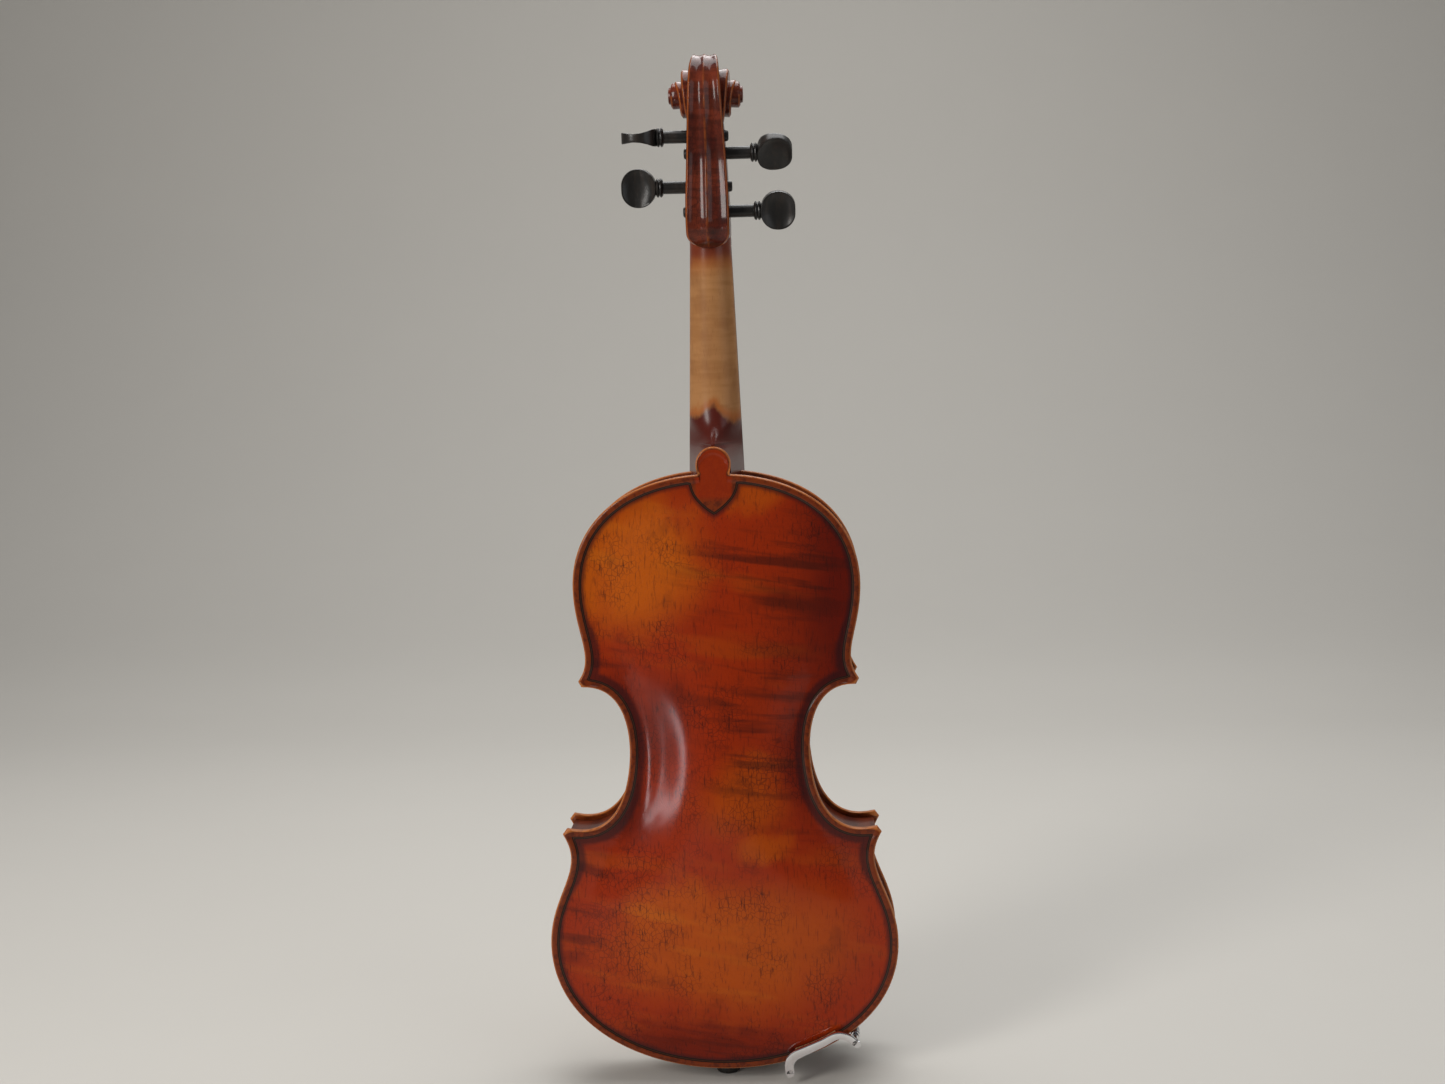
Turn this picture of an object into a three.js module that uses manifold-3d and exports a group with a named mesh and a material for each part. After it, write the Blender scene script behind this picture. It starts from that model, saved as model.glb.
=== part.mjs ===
// A full-size violin, built from its separate pieces: two arched plates on six ribs with blocks and linings, a
// carved neck with its head, four turning pegs, four strings on a bridge, a tailpiece with one fine tuner, and a
// side-mounted chin rest with its turnbuckle clamp.
//
// Millimetres. +Z runs up from the end button to the scroll, +Y out of the top (front), -Y out of the back, and
// +X to the bass side. The origin is the centre of the end button's flat outer face.

import * as THREE from 'three';
import { LoftGeometry } from 'three/addons/geometries/LoftGeometry.js';
import { mergeVertices } from 'three/addons/utils/BufferGeometryUtils.js';
import Module from 'manifold-3d';

const wasm = await Module();
wasm.setup();

// ---- Driving dimensions ----

const GAP = 0.3; // between pieces that are fitted to each other
const BODY_Z = 8.5; // the plates' lower edge, above the end button's face
const BODY_LENGTH = 356;
const RIB_Y = 15; // half the rib height
const RIB_THICKNESS = 1.1;
const OVERHANG = 3; // plate edge beyond the ribs
const CORNER_OVERHANG = 1.5; // further overhang along the edge at a corner
const LINING_THICKNESS = 2;
const LINING_HEIGHT = 7;
const EDGE = 4; // plate thickness at its edge
const BACK_RISE = 11; // arch above the edge
const TOP_RISE = 11.5;
const BUTTON_R = 10.2;
const BUTTON_Z = BODY_LENGTH + 5.4; // the button's centre, above the plates' lower edge

const NECK_TILT = 6.7 * Math.PI / 180;
const NECK_STOP = 130; // from the body's upper edge to the nut
const OVERSTAND = 6.5; // neck surface above the top's edge
const STOP = 195; // from the body's upper edge to the bridge
const FINGERBOARD = { length: 270, nutWidth: 24, endWidth: 42, edge: 5, radius: 42 };
const BRIDGE_TOP_Y = 64.5;
const BRIDGE_Z = BODY_Z + BODY_LENGTH - STOP;
const STRING_NAMES = ['g', 'd', 'a', 'e'];
const STRING_DIAMETERS = { g: 0.9, d: 0.85, a: 0.75, e: 0.5 };
const NUT_SPACING = 5.5;
const BRIDGE_SPACING = 11.4;

// Pegs: height above the nut, place behind the neck's surface, side (+1 is the bass side) and turn.
const PEGS = {
  g: { s: 20.5, p: -12, side: 1, turn: 8 },
  e: { s: 34.5, p: -12, side: -1, turn: 0 },
  d: { s: 53, p: -12, side: 1, turn: 35 },
  a: { s: 62.5, p: -14, side: -1, turn: 90 },
};
const PEG_R = 3.6;

const COLOURS = {
  varnish: 0x9c3a14, spruce: 0xb5602a, maple: 0xb98a55, willow: 0xd9c49a, ebony: 0x1a1817,
  bridge: 0xd8b27a, string: 0xa9a7a2, chrome: 0xc8c8cc, cork: 0xa88358,
};

// ---- Helpers ----

function solid(geometry) {
  const bare = geometry.index ? geometry.toNonIndexed() : geometry.clone();
  bare.deleteAttribute('normal');
  bare.deleteAttribute('uv');
  const merged = mergeVertices(bare, 1e-4);
  const corners = merged.index.array;
  const kept = [];
  for (let i = 0; i < corners.length; i += 3) {
    const [a, b, c] = corners.slice(i, i + 3);
    if (a !== b && b !== c && a !== c) kept.push(a, b, c);
  }
  const vertProperties = merged.attributes.position.array;
  const made = new wasm.Manifold(new wasm.Mesh({ numProp: 3, vertProperties, triVerts: new Uint32Array(kept) }));
  if (made.volume() >= 0) return made;
  const turned = new Uint32Array(kept.reverse());
  return new wasm.Manifold(new wasm.Mesh({ numProp: 3, vertProperties, triVerts: turned }));
}

function geometryOf(body) {
  const mesh = body.getMesh();
  const positions = new Float32Array(mesh.numVert * 3);
  for (let i = 0; i < mesh.numVert; i++) {
    positions.set(mesh.vertProperties.subarray(i * mesh.numProp, i * mesh.numProp + 3), i * 3);
  }
  const geometry = new THREE.BufferGeometry();
  geometry.setAttribute('position', new THREE.BufferAttribute(positions, 3));
  geometry.setIndex(new THREE.BufferAttribute(mesh.triVerts, 1));
  geometry.computeVertexNormals();
  return geometry;
}

const join = (...bodies) => bodies.reduce((all, body) => all.add(body));
const cut = (body, ...tools) => tools.reduce((left, tool) => left.subtract(tool), body);

const violin = new THREE.Group();

function addPiece(name, colour, shape) {
  const geometry = shape.isBufferGeometry ? shape : geometryOf(shape);
  const metal = colour === 'chrome' || colour === 'string';
  const material = new THREE.MeshStandardMaterial({
    color: COLOURS[colour], roughness: metal ? 0.15 : 0.4, metalness: metal ? 1 : 0,
  });
  const mesh = new THREE.Mesh(geometry, material);
  mesh.name = name;
  violin.add(mesh);
}

// A prism on an outline of [x, z] points, measured from the plates' lower edge, between two depths.
function prism(outline, yLow, yHigh) {
  const shape = new THREE.Shape(outline.map(([x, z]) => new THREE.Vector2(x, z)));
  const geometry = new THREE.ExtrudeGeometry(shape, { depth: yHigh - yLow, bevelEnabled: false });
  return solid(geometry.rotateX(Math.PI / 2).translate(0, yHigh, BODY_Z));
}

function box(x0, x1, y0, y1, z0, z1) {
  const geometry = new THREE.BoxGeometry(x1 - x0, y1 - y0, z1 - z0);
  return solid(geometry.translate((x0 + x1) / 2, (y0 + y1) / 2, (z0 + z1) / 2));
}

function cylinder(radius, length, sides = 16) {
  return new THREE.CylinderGeometry(radius, radius, length, sides);
}

// A closed loft. Its sections have to run counterclockwise, seen from its far end.
function loft(sections) {
  const normal = new THREE.Vector3();
  const [first, next] = sections;
  first.forEach((p, i) => normal.add(new THREE.Vector3().crossVectors(p, first[(i + 1) % first.length])));
  const middle = (section) => section.reduce((sum, p) => sum.add(p), new THREE.Vector3())
    .divideScalar(section.length);
  const facing = normal.dot(middle(next).sub(middle(first))) > 0;
  const ordered = facing ? sections : sections.map((section) => section.slice().reverse());
  return solid(new LoftGeometry(ordered, { capStart: true, capEnd: true }));
}

// A round tube through points, [x, y, z].
function tube(points, radius, steps, sides = 6) {
  const route = new THREE.CatmullRomCurve3(points.map((p) => new THREE.Vector3(...p)), false, 'centripetal');
  const circle = new THREE.Shape().absarc(0, 0, radius, 0, 2 * Math.PI);
  return solid(new THREE.ExtrudeGeometry(circle, { steps, extrudePath: route, curveSegments: sides }));
}

// Straight runs between points, with a tight bend at each.
function wire(points, radius, sides = 6) {
  const rows = points.map(([x, y, z]) => {
    const ring = [];
    for (let i = 0; i < sides; i++) {
      const a = 2 * Math.PI * i / sides;
      ring.push(new THREE.Vector3(x + radius * Math.cos(a), y + radius * Math.sin(a), z));
    }
    return ring;
  });
  return loft(rows);
}

const mix = (a, b, t) => a + (b - a) * t;

// Straight-line interpolation in a list of [key, value] pairs.
function lookUp(pairs, key) {
  for (let i = 1; i < pairs.length; i++) {
    if (key <= pairs[i][0] || i === pairs.length - 1) {
      const t = (key - pairs[i - 1][0]) / (pairs[i][0] - pairs[i - 1][0]);
      return mix(pairs[i - 1][1], pairs[i][1], Math.min(1, Math.max(0, t)));
    }
  }
  return pairs[0][1];
}

// ---- The outline ----

// The outer faces of the ribs on the bass side, from the bottom to the neck, with z from the plates' lower edge.
const bezier = (...n) => new THREE.CubicBezierCurve(...[0, 2, 4, 6].map((i) => new THREE.Vector2(n[i], n[i + 1])));
const RIB_CURVES = {
  lower: [bezier(0, 3, 51.5, 3, 100, 30, 100, 77), bezier(100, 77, 100, 107, 77.5, 121, 90.5, 144.5)],
  waist: [bezier(90.5, 144.5, 69.5, 140, 52, 153, 49.8, 191), bezier(49.8, 191, 48.8, 218, 59, 235.5, 78.5, 235.5)],
  upper: [bezier(78.5, 235.5, 68.2, 251, 80.3, 265, 80.3, 291), bezier(80.3, 291, 80.3, 327, 51, 353, 0, 353)],
};
const STEPS = { lower: 15, waist: 12, upper: 13 };

// Points of one bout's curve moved outwards by offset, with their places along it from 0 to 1.
function boutPoints(bout, offset, steps = STEPS[bout]) {
  const path = new THREE.CurvePath();
  RIB_CURVES[bout].forEach((curve) => path.add(curve));
  const points = [];
  for (let i = 0; i <= steps; i++) {
    const p = path.getPointAt(i / steps);
    const tangent = path.getTangentAt(i / steps);
    points.push([p.x + offset * tangent.y, p.y - offset * tangent.x]);
  }
  return points;
}

function extended(points, distance) {
  const [a, b] = points.slice(-2);
  const length = Math.hypot(b[0] - a[0], b[1] - a[1]);
  return [...points, [b[0] + (b[0] - a[0]) / length * distance, b[1] + (b[1] - a[1]) / length * distance]];
}

// Joins two runs of points where they cross, near the end of the first and the start of the second.
function joinedAtCrossing(first, second) {
  for (let i = first.length - 1; i > 0; i--) {
    for (let j = 0; j < second.length - 1; j++) {
      const [a, b, c, d] = [first[i - 1], first[i], second[j], second[j + 1]];
      const [rx, rz, sx, sz] = [b[0] - a[0], b[1] - a[1], d[0] - c[0], d[1] - c[1]];
      const across = rx * sz - rz * sx;
      const t = ((c[0] - a[0]) * sz - (c[1] - a[1]) * sx) / across;
      const u = ((c[0] - a[0]) * rz - (c[1] - a[1]) * rx) / across;
      if (t >= 0 && t <= 1 && u >= 0 && u <= 1) {
        return [...first.slice(0, i), [a[0] + rx * t, a[1] + rz * t], ...second.slice(j + 1)];
      }
    }
  }
  return [...first, ...second];
}

const mirrored = (half) => half.slice().reverse().filter(([x]) => x > 0.01).map(([x, z]) => [-x, z]);
const bothSides = (half) => [...half, ...mirrored(half)];

// The whole outline inside the ribs' outer faces by inset.
function insetOutline(inset) {
  const [lower, waist, upper] = ['lower', 'waist', 'upper'].map((bout) => boutPoints(bout, -inset));
  return bothSides(joinedAtCrossing(joinedAtCrossing(lower, waist), upper));
}

// The plate's edge on the bass side, with the height on the centre line that each point looks to. Each corner
// ends in a short straight cut.
function plateHalf() {
  const reversed = (points) => points.slice().reverse();
  const bouts = {
    lower: extended(boutPoints('lower', OVERHANG), CORNER_OVERHANG),
    waist: reversed(extended(reversed(extended(boutPoints('waist', OVERHANG), CORNER_OVERHANG)), CORNER_OVERHANG)),
    upper: reversed(extended(reversed(boutPoints('upper', OVERHANG)), CORNER_OVERHANG)),
  };
  const spine = { lower: [70, 117], waist: [117, 255], upper: [255, 290] };
  return Object.entries(bouts).flatMap(([bout, points]) => points.map(([x, z], i) => {
    const [from, to] = spine[bout];
    return { x: Math.abs(x) < 0.01 ? 0 : x, z, spine: mix(from, to, i / (points.length - 1)) };
  }));
}

// ---- Arching ----

const ARCH_END = 7.5; // the arch starts this far inside the edge
const ARCH_CONTOUR = new THREE.CurvePath();
[
  bezier(0, ARCH_END, 50, ARCH_END, 94, 33, 94, 77), bezier(94, 77, 94, 114, 46.5, 130, 46.5, 191),
  bezier(46.5, 191, 46.5, 237, 74.5, 242, 74.5, 291), bezier(74.5, 291, 74.5, 323, 47.5, 348.5, 0, 348.5),
].forEach((curve) => ARCH_CONTOUR.add(curve));
const ARCH_WIDTHS = ARCH_CONTOUR.getSpacedPoints(160).map((p) => [p.y, p.x]);

// How far up the arch a point of the plate is, from 0 at its edge to 1 in its middle.
function archShare(x, z) {
  const top = BODY_LENGTH - ARCH_END;
  if (z <= ARCH_END || z >= top) return 0;
  const s = (z - ARCH_END) / (top - ARCH_END);
  const ends = THREE.MathUtils.smoothstep(s, 0, 0.07) * THREE.MathUtils.smoothstep(1 - s, 0, 0.07);
  const long = (1 - Math.abs(2 * s - 1) ** 2.6) * ends;
  const q = Math.min(1, Math.abs(x) / Math.max(0.5, lookUp(ARCH_WIDTHS, z)));
  return long * ((1 + Math.cos(Math.PI * q)) / 2) ** 0.8;
}

// Plate surfaces, as heights above the ribs.
const outerHeight = (rise) => (x, z) => EDGE + rise * archShare(x, z);
const innerHeight = (rise, middle) => (x, z) => {
  const share = archShare(x, z);
  return Math.max(0, EDGE + rise * share - mix(3, middle, share));
};

const RING_STEPS = [0, 0.13, 0.25, 0.42, 0.68, 1]; // from the edge to the centre line

// A closed solid between two height functions over the plate's outline. side is -1 for the back, +1 for the top.
function archedSolid(side, inner, outer) {
  const half = plateHalf();
  const around = [...half, ...half.slice(1, -1).reverse().map((p) => ({ ...p, x: -p.x }))];
  const ring = (step, height) => around.map((p) => {
    const x = mix(p.x, 0, step);
    const z = mix(p.z, p.spine, step);
    return new THREE.Vector3(x, side * (RIB_Y + height(x, z, step)), BODY_Z + z);
  });
  const rows = [
    ...RING_STEPS.slice().reverse().map((step) => ring(step, inner)),
    ...RING_STEPS.map((step) => ring(step, outer)),
  ];
  return solid(new LoftGeometry(rows));
}

const flatRim = (height) => (x, z, step) => (step < 0.2 ? 0 : height(x, z));
const level = (value) => () => value;
const backInner = flatRim(innerHeight(BACK_RISE, 4.5));
const topInner = flatRim(innerHeight(TOP_RISE, 3));
const abovePlate = (rise) => (x, z) => outerHeight(rise)(x, z) + GAP;

// ---- Neck frame: p is out of the neck's glued surface, s runs up from the nut ----

const NUT_Z = BODY_Z + BODY_LENGTH + NECK_STOP;
const neckY = (z) => RIB_Y + EDGE + OVERSTAND - Math.tan(NECK_TILT) * (z - BODY_Z - BODY_LENGTH);
const NECK_OUT = new THREE.Vector3(0, Math.cos(NECK_TILT), Math.sin(NECK_TILT));
const NECK_UP = new THREE.Vector3(0, -Math.sin(NECK_TILT), Math.cos(NECK_TILT));
const HEAD_FRAME = new THREE.Matrix4()
  .makeBasis(NECK_OUT, NECK_UP, new THREE.Vector3(1, 0, 0))
  .setPosition(0, neckY(NUT_Z), NUT_Z);
const inNeck = (x, p, s) => new THREE.Vector3(p, s, x).applyMatrix4(HEAD_FRAME);

// ---- Body ----

// The heel's section where it is let into the body, as half widths at the neck surface and at the button.
const HEEL = { topHalf: 16.3, backHalf: 10, bottomZ: BODY_Z + 347.5 };

function mortise() {
  const y1 = RIB_Y + EDGE + OVERSTAND + 4;
  const spread = (y) => mix(HEEL.backHalf, HEEL.topHalf, (y + RIB_Y) / (neckY(BODY_Z + BODY_LENGTH) + RIB_Y)) + GAP;
  const section = (z) => [[-1, -RIB_Y], [1, -RIB_Y], [1, y1], [-1, y1]]
    .map(([sign, y]) => new THREE.Vector3(sign * spread(y), y, z));
  return loft([section(HEEL.bottomZ - GAP), section(BODY_Z + BODY_LENGTH + 20)]);
}

function backPlate() {
  const plate = archedSolid(-1, backInner, outerHeight(BACK_RISE));
  const button = cylinder(BUTTON_R, EDGE, 32).translate(0, -RIB_Y - EDGE / 2, BODY_Z + BUTTON_Z);
  return join(plate, solid(button));
}

// One sound hole on the side given, as a prism through the top.
function soundHole(side) {
  const line = new THREE.SplineCurve([
    [22.6, 194], [25.6, 197.6], [30.2, 194], [31, 184], [33, 163], [35, 142], [35.8, 130.5], [39.6, 126.8],
    [43, 129.6],
  ].map(([x, z]) => new THREE.Vector2(side * x, z)));
  const steps = 16;
  const edges = [[], []];
  for (let i = 0; i <= steps; i++) {
    const t = i / steps;
    const p = line.getPointAt(t);
    const tangent = line.getTangentAt(t);
    const half = 0.8 + 2.1 * Math.sin(Math.PI * t) ** 2;
    [-1, 1].forEach((hand, k) => edges[k].push([p.x - hand * half * tangent.y, p.y + hand * half * tangent.x]));
  }
  const slot = prism([...edges[0], ...edges[1].reverse()], RIB_Y - 5, RIB_Y + 40);
  const eye = (x, z, r) => solid(cylinder(r, 45, 14).translate(side * x, RIB_Y + 17.5, BODY_Z + z));
  return join(slot, eye(23.5, 191.5, 3.1), eye(41.8, 133, 4.1));
}

const SADDLE = { half: 17, depth: 7 };

function topPlate() {
  const plate = archedSolid(1, topInner, outerHeight(TOP_RISE));
  const notch = box(-SADDLE.half - GAP, SADDLE.half + GAP, 0, 60, BODY_Z - 5, BODY_Z + SADDLE.depth + GAP);
  return cut(plate, soundHole(1), soundHole(-1), mortise(), notch);
}

// Prisms that split each side into its bouts, along the mitre of each corner.
function boutRegions(side) {
  const g = GAP / 2;
  const mitre = (tip, angle, shift) => [25, 0, -25].map((d) => [
    side * (tip[0] + d * Math.cos(angle)), tip[1] + d * Math.sin(angle) + shift,
  ]);
  const low = (shift) => mitre([90.5, 144.5], 0.62, shift);
  const high = (shift) => mitre([78.5, 235.5], -0.47, shift);
  const centre = side * g;
  const far = side * 150;
  return {
    lower: [[centre, -20], [far, -20], [far, 150], ...low(-g), [centre, 122 - g]],
    waist: [[centre, 122 + g], ...low(g).reverse(), ...high(-g), [centre, 250 - g]],
    upper: [[centre, 250 + g], ...high(g).reverse(), [far, 250], [far, 380], [centre, 380]],
  };
}

const PIN_HOLE_R = 4.3;
const pinHole = solid(cylinder(PIN_HOLE_R, 60).rotateX(Math.PI / 2).translate(0, 0, BODY_Z));

function addRibsAndLinings() {
  const ring = (from, to, y0, y1) => cut(prism(insetOutline(from), y0, y1), prism(insetOutline(to), y0 - 1, y1 + 1));
  const liningIn = RIB_THICKNESS + GAP;
  const ribs = ring(0, RIB_THICKNESS, -RIB_Y, RIB_Y);
  const linings = {
    back: ring(liningIn, liningIn + LINING_THICKNESS, -RIB_Y, -RIB_Y + LINING_HEIGHT),
    top: ring(liningIn, liningIn + LINING_THICKNESS, RIB_Y - LINING_HEIGHT, RIB_Y),
  };
  const blockRoom = join(...Object.values(blockPrisms(0)));
  for (const [sideName, side] of [['bass', 1], ['treble', -1]]) {
    for (const [bout, region] of Object.entries(boutRegions(side))) {
      const part = prism(region, -30, 30);
      addPiece(`rib_${bout}_${sideName}`, 'varnish', cut(ribs.intersect(part), mortise(), pinHole));
      for (const plate of ['back', 'top']) {
        addPiece(`lining_${plate}_${bout}_${sideName}`, 'willow', cut(linings[plate].intersect(part), blockRoom));
      }
    }
  }
}

// Outlines of the six blocks, grown by extra, before they are fitted inside the ribs.
function blockPrisms(extra) {
  const y = RIB_Y + 1;
  const rectangle = (x0, x1, z0, z1) => prism([[x0, z0], [x1, z0], [x1, z1], [x0, z1]], -y, y);
  const blocks = {
    block_end: rectangle(-25 - extra, 25 + extra, -5, 20 + extra),
    block_neck: rectangle(-27 - extra, 27 + extra, 338 - extra, 365),
  };
  for (const [name, side] of [['bass', 1], ['treble', -1]]) {
    const corner = (points) => prism(points.map(([x, z]) => [side * x, z]), -y, y);
    blocks[`block_lower_${name}`] = corner([[110, 116], [110, 169], [60, 169], [60, 144], [70, 131], [83, 116]]);
    blocks[`block_upper_${name}`] = corner([[110, 213], [110, 267], [72, 267], [63, 245], [52, 237], [52, 213]]);
  }
  return blocks;
}

function addBlocks() {
  const inside = prism(insetOutline(RIB_THICKNESS + GAP), -RIB_Y, RIB_Y);
  for (const [name, block] of Object.entries(blockPrisms(-GAP))) {
    addPiece(name, 'willow', cut(block.intersect(inside), mortise(), pinHole));
  }
}

function addBarAndPost() {
  const underTop = archedSolid(1, (x, z, step) => topInner(x, z, step) - GAP, level(60));
  const underBack = archedSolid(-1, (x, z, step) => backInner(x, z, step) - GAP, level(60));
  const bar = new THREE.Shape();
  const [low, high, y] = [BODY_Z + 44, BODY_Z + 312, RIB_Y + 1];
  bar.moveTo(low, y).quadraticCurveTo((low + high) / 2, -5, high, y).lineTo(high, 30).lineTo(low, 30).closePath();
  const barBody = new THREE.ExtrudeGeometry(bar, { depth: 5.5, bevelEnabled: false, curveSegments: 16 });
  const upright = new THREE.Matrix4().makeBasis(
    new THREE.Vector3(0, 0, 1), new THREE.Vector3(0, 1, 0), new THREE.Vector3(-1, 0, 0),
  );
  addPiece('bass_bar', 'willow', cut(solid(barBody.applyMatrix4(upright).translate(19.5, 0, 0)), underTop));
  const post = solid(cylinder(3.1, 70).translate(-18.5, 0, BRIDGE_Z - 6));
  addPiece('sound_post', 'willow', cut(post, underTop, underBack));
}

// ---- Neck, head and fingerboard ----

// The neck's back line: how far it stands out at each height, from the button to the head.
const NECK_BACK = [
  [356, -15], [379.9, -15], [381.5, -11], [384, -5.6], [387, -1.4], [391.5, 2.2], [398, 4.5], [406, 5.2],
  [420, 4.1], [450, 1.1], [480, -2], [500, -4.2],
];

function neckHandle() {
  const heights = [356, 364.5, 370, 374, 377, 379.9, 381.5, 384, 387, 391.5, 398, 406, 420, 450, 480, 498];
  const shares = [0, 0.15, 0.35, 0.55, 0.75, 0.9, 1];
  const topHalf = (z) => lookUp([[356, HEEL.topHalf], [364.5, HEEL.topHalf], [NUT_Z, 12], [510, 12]], z);
  return loft(heights.map((z) => {
    const top = z < BODY_Z + BODY_LENGTH ? neckY(BODY_Z + BODY_LENGTH) : neckY(z);
    const back = lookUp(NECK_BACK, z);
    const heel = 1 - THREE.MathUtils.smoothstep(z, 379, 397);
    const aboveButton = Math.max(0, z - (BODY_Z + BUTTON_Z));
    const backHalf = Math.sqrt(Math.max(1, HEEL.backHalf ** 2 - aboveButton ** 2));
    const half = shares.map((f) => [
      mix(Math.max(0.6, topHalf(z) * Math.sqrt(1 - f * f)), mix(topHalf(z), backHalf, f), heel), mix(top, back, f),
    ]);
    const around = [...half, ...half.slice().reverse().map(([x, y]) => [-x, y])];
    return around.map(([x, y]) => new THREE.Vector3(x, y, z));
  }));
}

// Half the head's width at each height above the nut.
const HEAD_HALF = [
  [-6, 11.5], [4, 12.3], [20, 12.4], [30, 12.2], [55, 11], [70, 10.2], [85, 9.5], [98, 8.5], [108, 6.9],
];
const CAVITY_HALF = [[0, 8], [60, 4.6]]; // half the pegbox's hollow

// A side profile of the head in [p, s], given its width, as a solid across the neck.
function headPrism(shape, halfWidths) {
  const geometry = new THREE.ExtrudeGeometry(shape, { depth: 2, bevelEnabled: false, curveSegments: 6 });
  geometry.translate(0, 0, -1);
  const at = geometry.attributes.position;
  for (let i = 0; i < at.count; i++) at.setZ(i, at.getZ(i) * lookUp(halfWidths, at.getY(i)));
  return solid(geometry.applyMatrix4(HEAD_FRAME));
}

const EYE = { p: -6, s: 85 };
const acrossHead = (radius, length, p, s, sides) =>
  solid(cylinder(radius, length, sides).rotateX(Math.PI / 2).translate(p, s, 0).applyMatrix4(HEAD_FRAME));

function headBody() {
  const side = new THREE.Shape();
  side.moveTo(0, 0).lineTo(-0.5, 8).bezierCurveTo(-1.5, 30, -3, 55, -8, 66.5);
  side.bezierCurveTo(2, 65, 13.5, 72, 13.5, 86).bezierCurveTo(13.5, 100, 4, 107.5, -7, 107.5);
  side.bezierCurveTo(-20, 107.5, -28, 98, -28, 84).bezierCurveTo(-28, 74, -25, 66, -24.5, 50);
  side.bezierCurveTo(-24.5, 36, -28.5, 27, -28.5, 17).bezierCurveTo(-28.5, 7, -22, 1, -13.5, 0).closePath();
  const cavity = new THREE.Shape();
  cavity.moveTo(6, 8).lineTo(-17, 8).bezierCurveTo(-21.5, 9, -22.8, 16, -21.5, 26);
  cavity.bezierCurveTo(-19, 38, -18.5, 48, -17, 58).quadraticCurveTo(-12, 66, -6.5, 63).lineTo(6, 60).closePath();
  const body = join(
    headPrism(side, HEAD_HALF), acrossHead(14, 27.6, EYE.p + 0.5, EYE.s, 24), acrossHead(7.1, 42.2, EYE.p, EYE.s, 16),
  );
  const holes = Object.values(PEGS).map(({ p, s }) => acrossHead(PEG_R + 0.5, 60, p, s, 16));
  return cut(body, headPrism(cavity, CAVITY_HALF), ...holes);
}

function fingerboard() {
  const { length, nutWidth, endWidth, edge, radius } = FINGERBOARD;
  const section = (s) => {
    const half = mix(nutWidth, endWidth, -s / length) / 2;
    const over = [-1, -0.66, -0.33, 0, 0.33, 0.66, 1].map((f) => {
      const rise = Math.sqrt(radius ** 2 - (f * half) ** 2) - Math.sqrt(radius ** 2 - half ** 2);
      return inNeck(f * half, edge + rise, s);
    });
    return [inNeck(half, GAP, s), inNeck(-half, GAP, s), ...over];
  };
  const steps = 4;
  const rows = [];
  for (let i = 0; i <= steps; i++) rows.push(section(-length * i / steps));
  return loft(rows);
}

const stringIndex = (name) => 1.5 - STRING_NAMES.indexOf(name);
const arcDrop = (x, radius) => radius - Math.sqrt(radius ** 2 - x ** 2);
const NUT_TOP = 7.6;

function nut() {
  const half = FINGERBOARD.nutWidth / 2;
  const xs = [-1, -0.6, -0.2, 0.2, 0.6, 1].map((f) => f * half);
  const section = (s, top) => [
    inNeck(half, GAP, s), inNeck(-half, GAP, s), ...xs.map((x) => inNeck(x, top - arcDrop(x, 42), s)),
  ];
  return loft([section(GAP, NUT_TOP), section(2.5, NUT_TOP), section(5.5, NUT_TOP - 4)]);
}

// ---- Pegs and strings ----

// A peg points along +Z from its small end to its thumb piece. The thumb piece is a disc across X.
function peg({ s, p, side, turn }) {
  const wall = lookUp(HEAD_HALF, s);
  const profile = [
    [0, -wall - 2], [2.6, -wall - 2], [3.1, -wall - 1], [PEG_R - 0.3, -wall], [PEG_R, wall], [PEG_R, wall + 13.5],
    [5.4, wall + 14.2], [5.4, wall + 15], [4.3, wall + 15.6], [5.4, wall + 16.2], [5.4, wall + 17],
    [3.6, wall + 18.5], [3.2, wall + 20], [0, wall + 20],
  ];
  const shaft = new THREE.LatheGeometry(profile.map(([r, h]) => new THREE.Vector2(r, h)), 12).rotateX(Math.PI / 2);
  const thumb = new THREE.SphereGeometry(1, 12, 8).scale(3.6, 11, 9.6).translate(0, 0, wall + 27);
  const body = join(solid(shaft), solid(thumb));
  const placed = new THREE.Matrix4().makeRotationZ(THREE.MathUtils.degToRad(turn));
  if (side < 0) placed.premultiply(new THREE.Matrix4().makeRotationX(Math.PI));
  placed.premultiply(new THREE.Matrix4().makeTranslation(p, s, 0)).premultiply(HEAD_FRAME);
  return geometryOf(body).applyMatrix4(placed);
}

const bridgeString = (name) => {
  const x = stringIndex(name) * BRIDGE_SPACING;
  return [x, BRIDGE_TOP_Y - arcDrop(x, 42) + x * 0.03, BRIDGE_Z];
};

// Where a string is fixed in the tailpiece, a little under its fret.
const TAILPIECE = { topZ: BRIDGE_Z - 53, bottomZ: BODY_Z + 13, topY: 51, bottomY: 30 };
const tailY = (z) => {
  const { topZ, bottomZ, topY, bottomY } = TAILPIECE;
  return mix(bottomY, topY, (z - bottomZ) / (topZ - bottomZ));
};

function string(name) {
  const radius = STRING_DIAMETERS[name] / 2;
  const [bx, by, bz] = bridgeString(name);
  const nx = stringIndex(name) * NUT_SPACING;
  const lift = radius + GAP;
  const overNut = (s, p) => inNeck(nx, p - arcDrop(nx, 42) + lift, s).toArray();
  const { s, p: depth, side } = PEGS[name];
  const end = inNeck(side * (lookUp(CAVITY_HALF, s) - 1.6), depth + PEG_R + 1.4, s - 0.6).toArray();
  const tx = stringIndex(name) * 9.5;
  const fretZ = TAILPIECE.topZ - 3;
  const low = name === 'e' ? [tx, tailY(fretZ) + 7, fretZ + 2] : [tx, tailY(fretZ) + 3.1, fretZ];
  return wire([low, [bx, by + lift, bz], overNut(1, NUT_TOP), overNut(3, NUT_TOP - 0.2), end], radius);
}

// ---- Bridge, tailpiece and fittings ----

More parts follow.
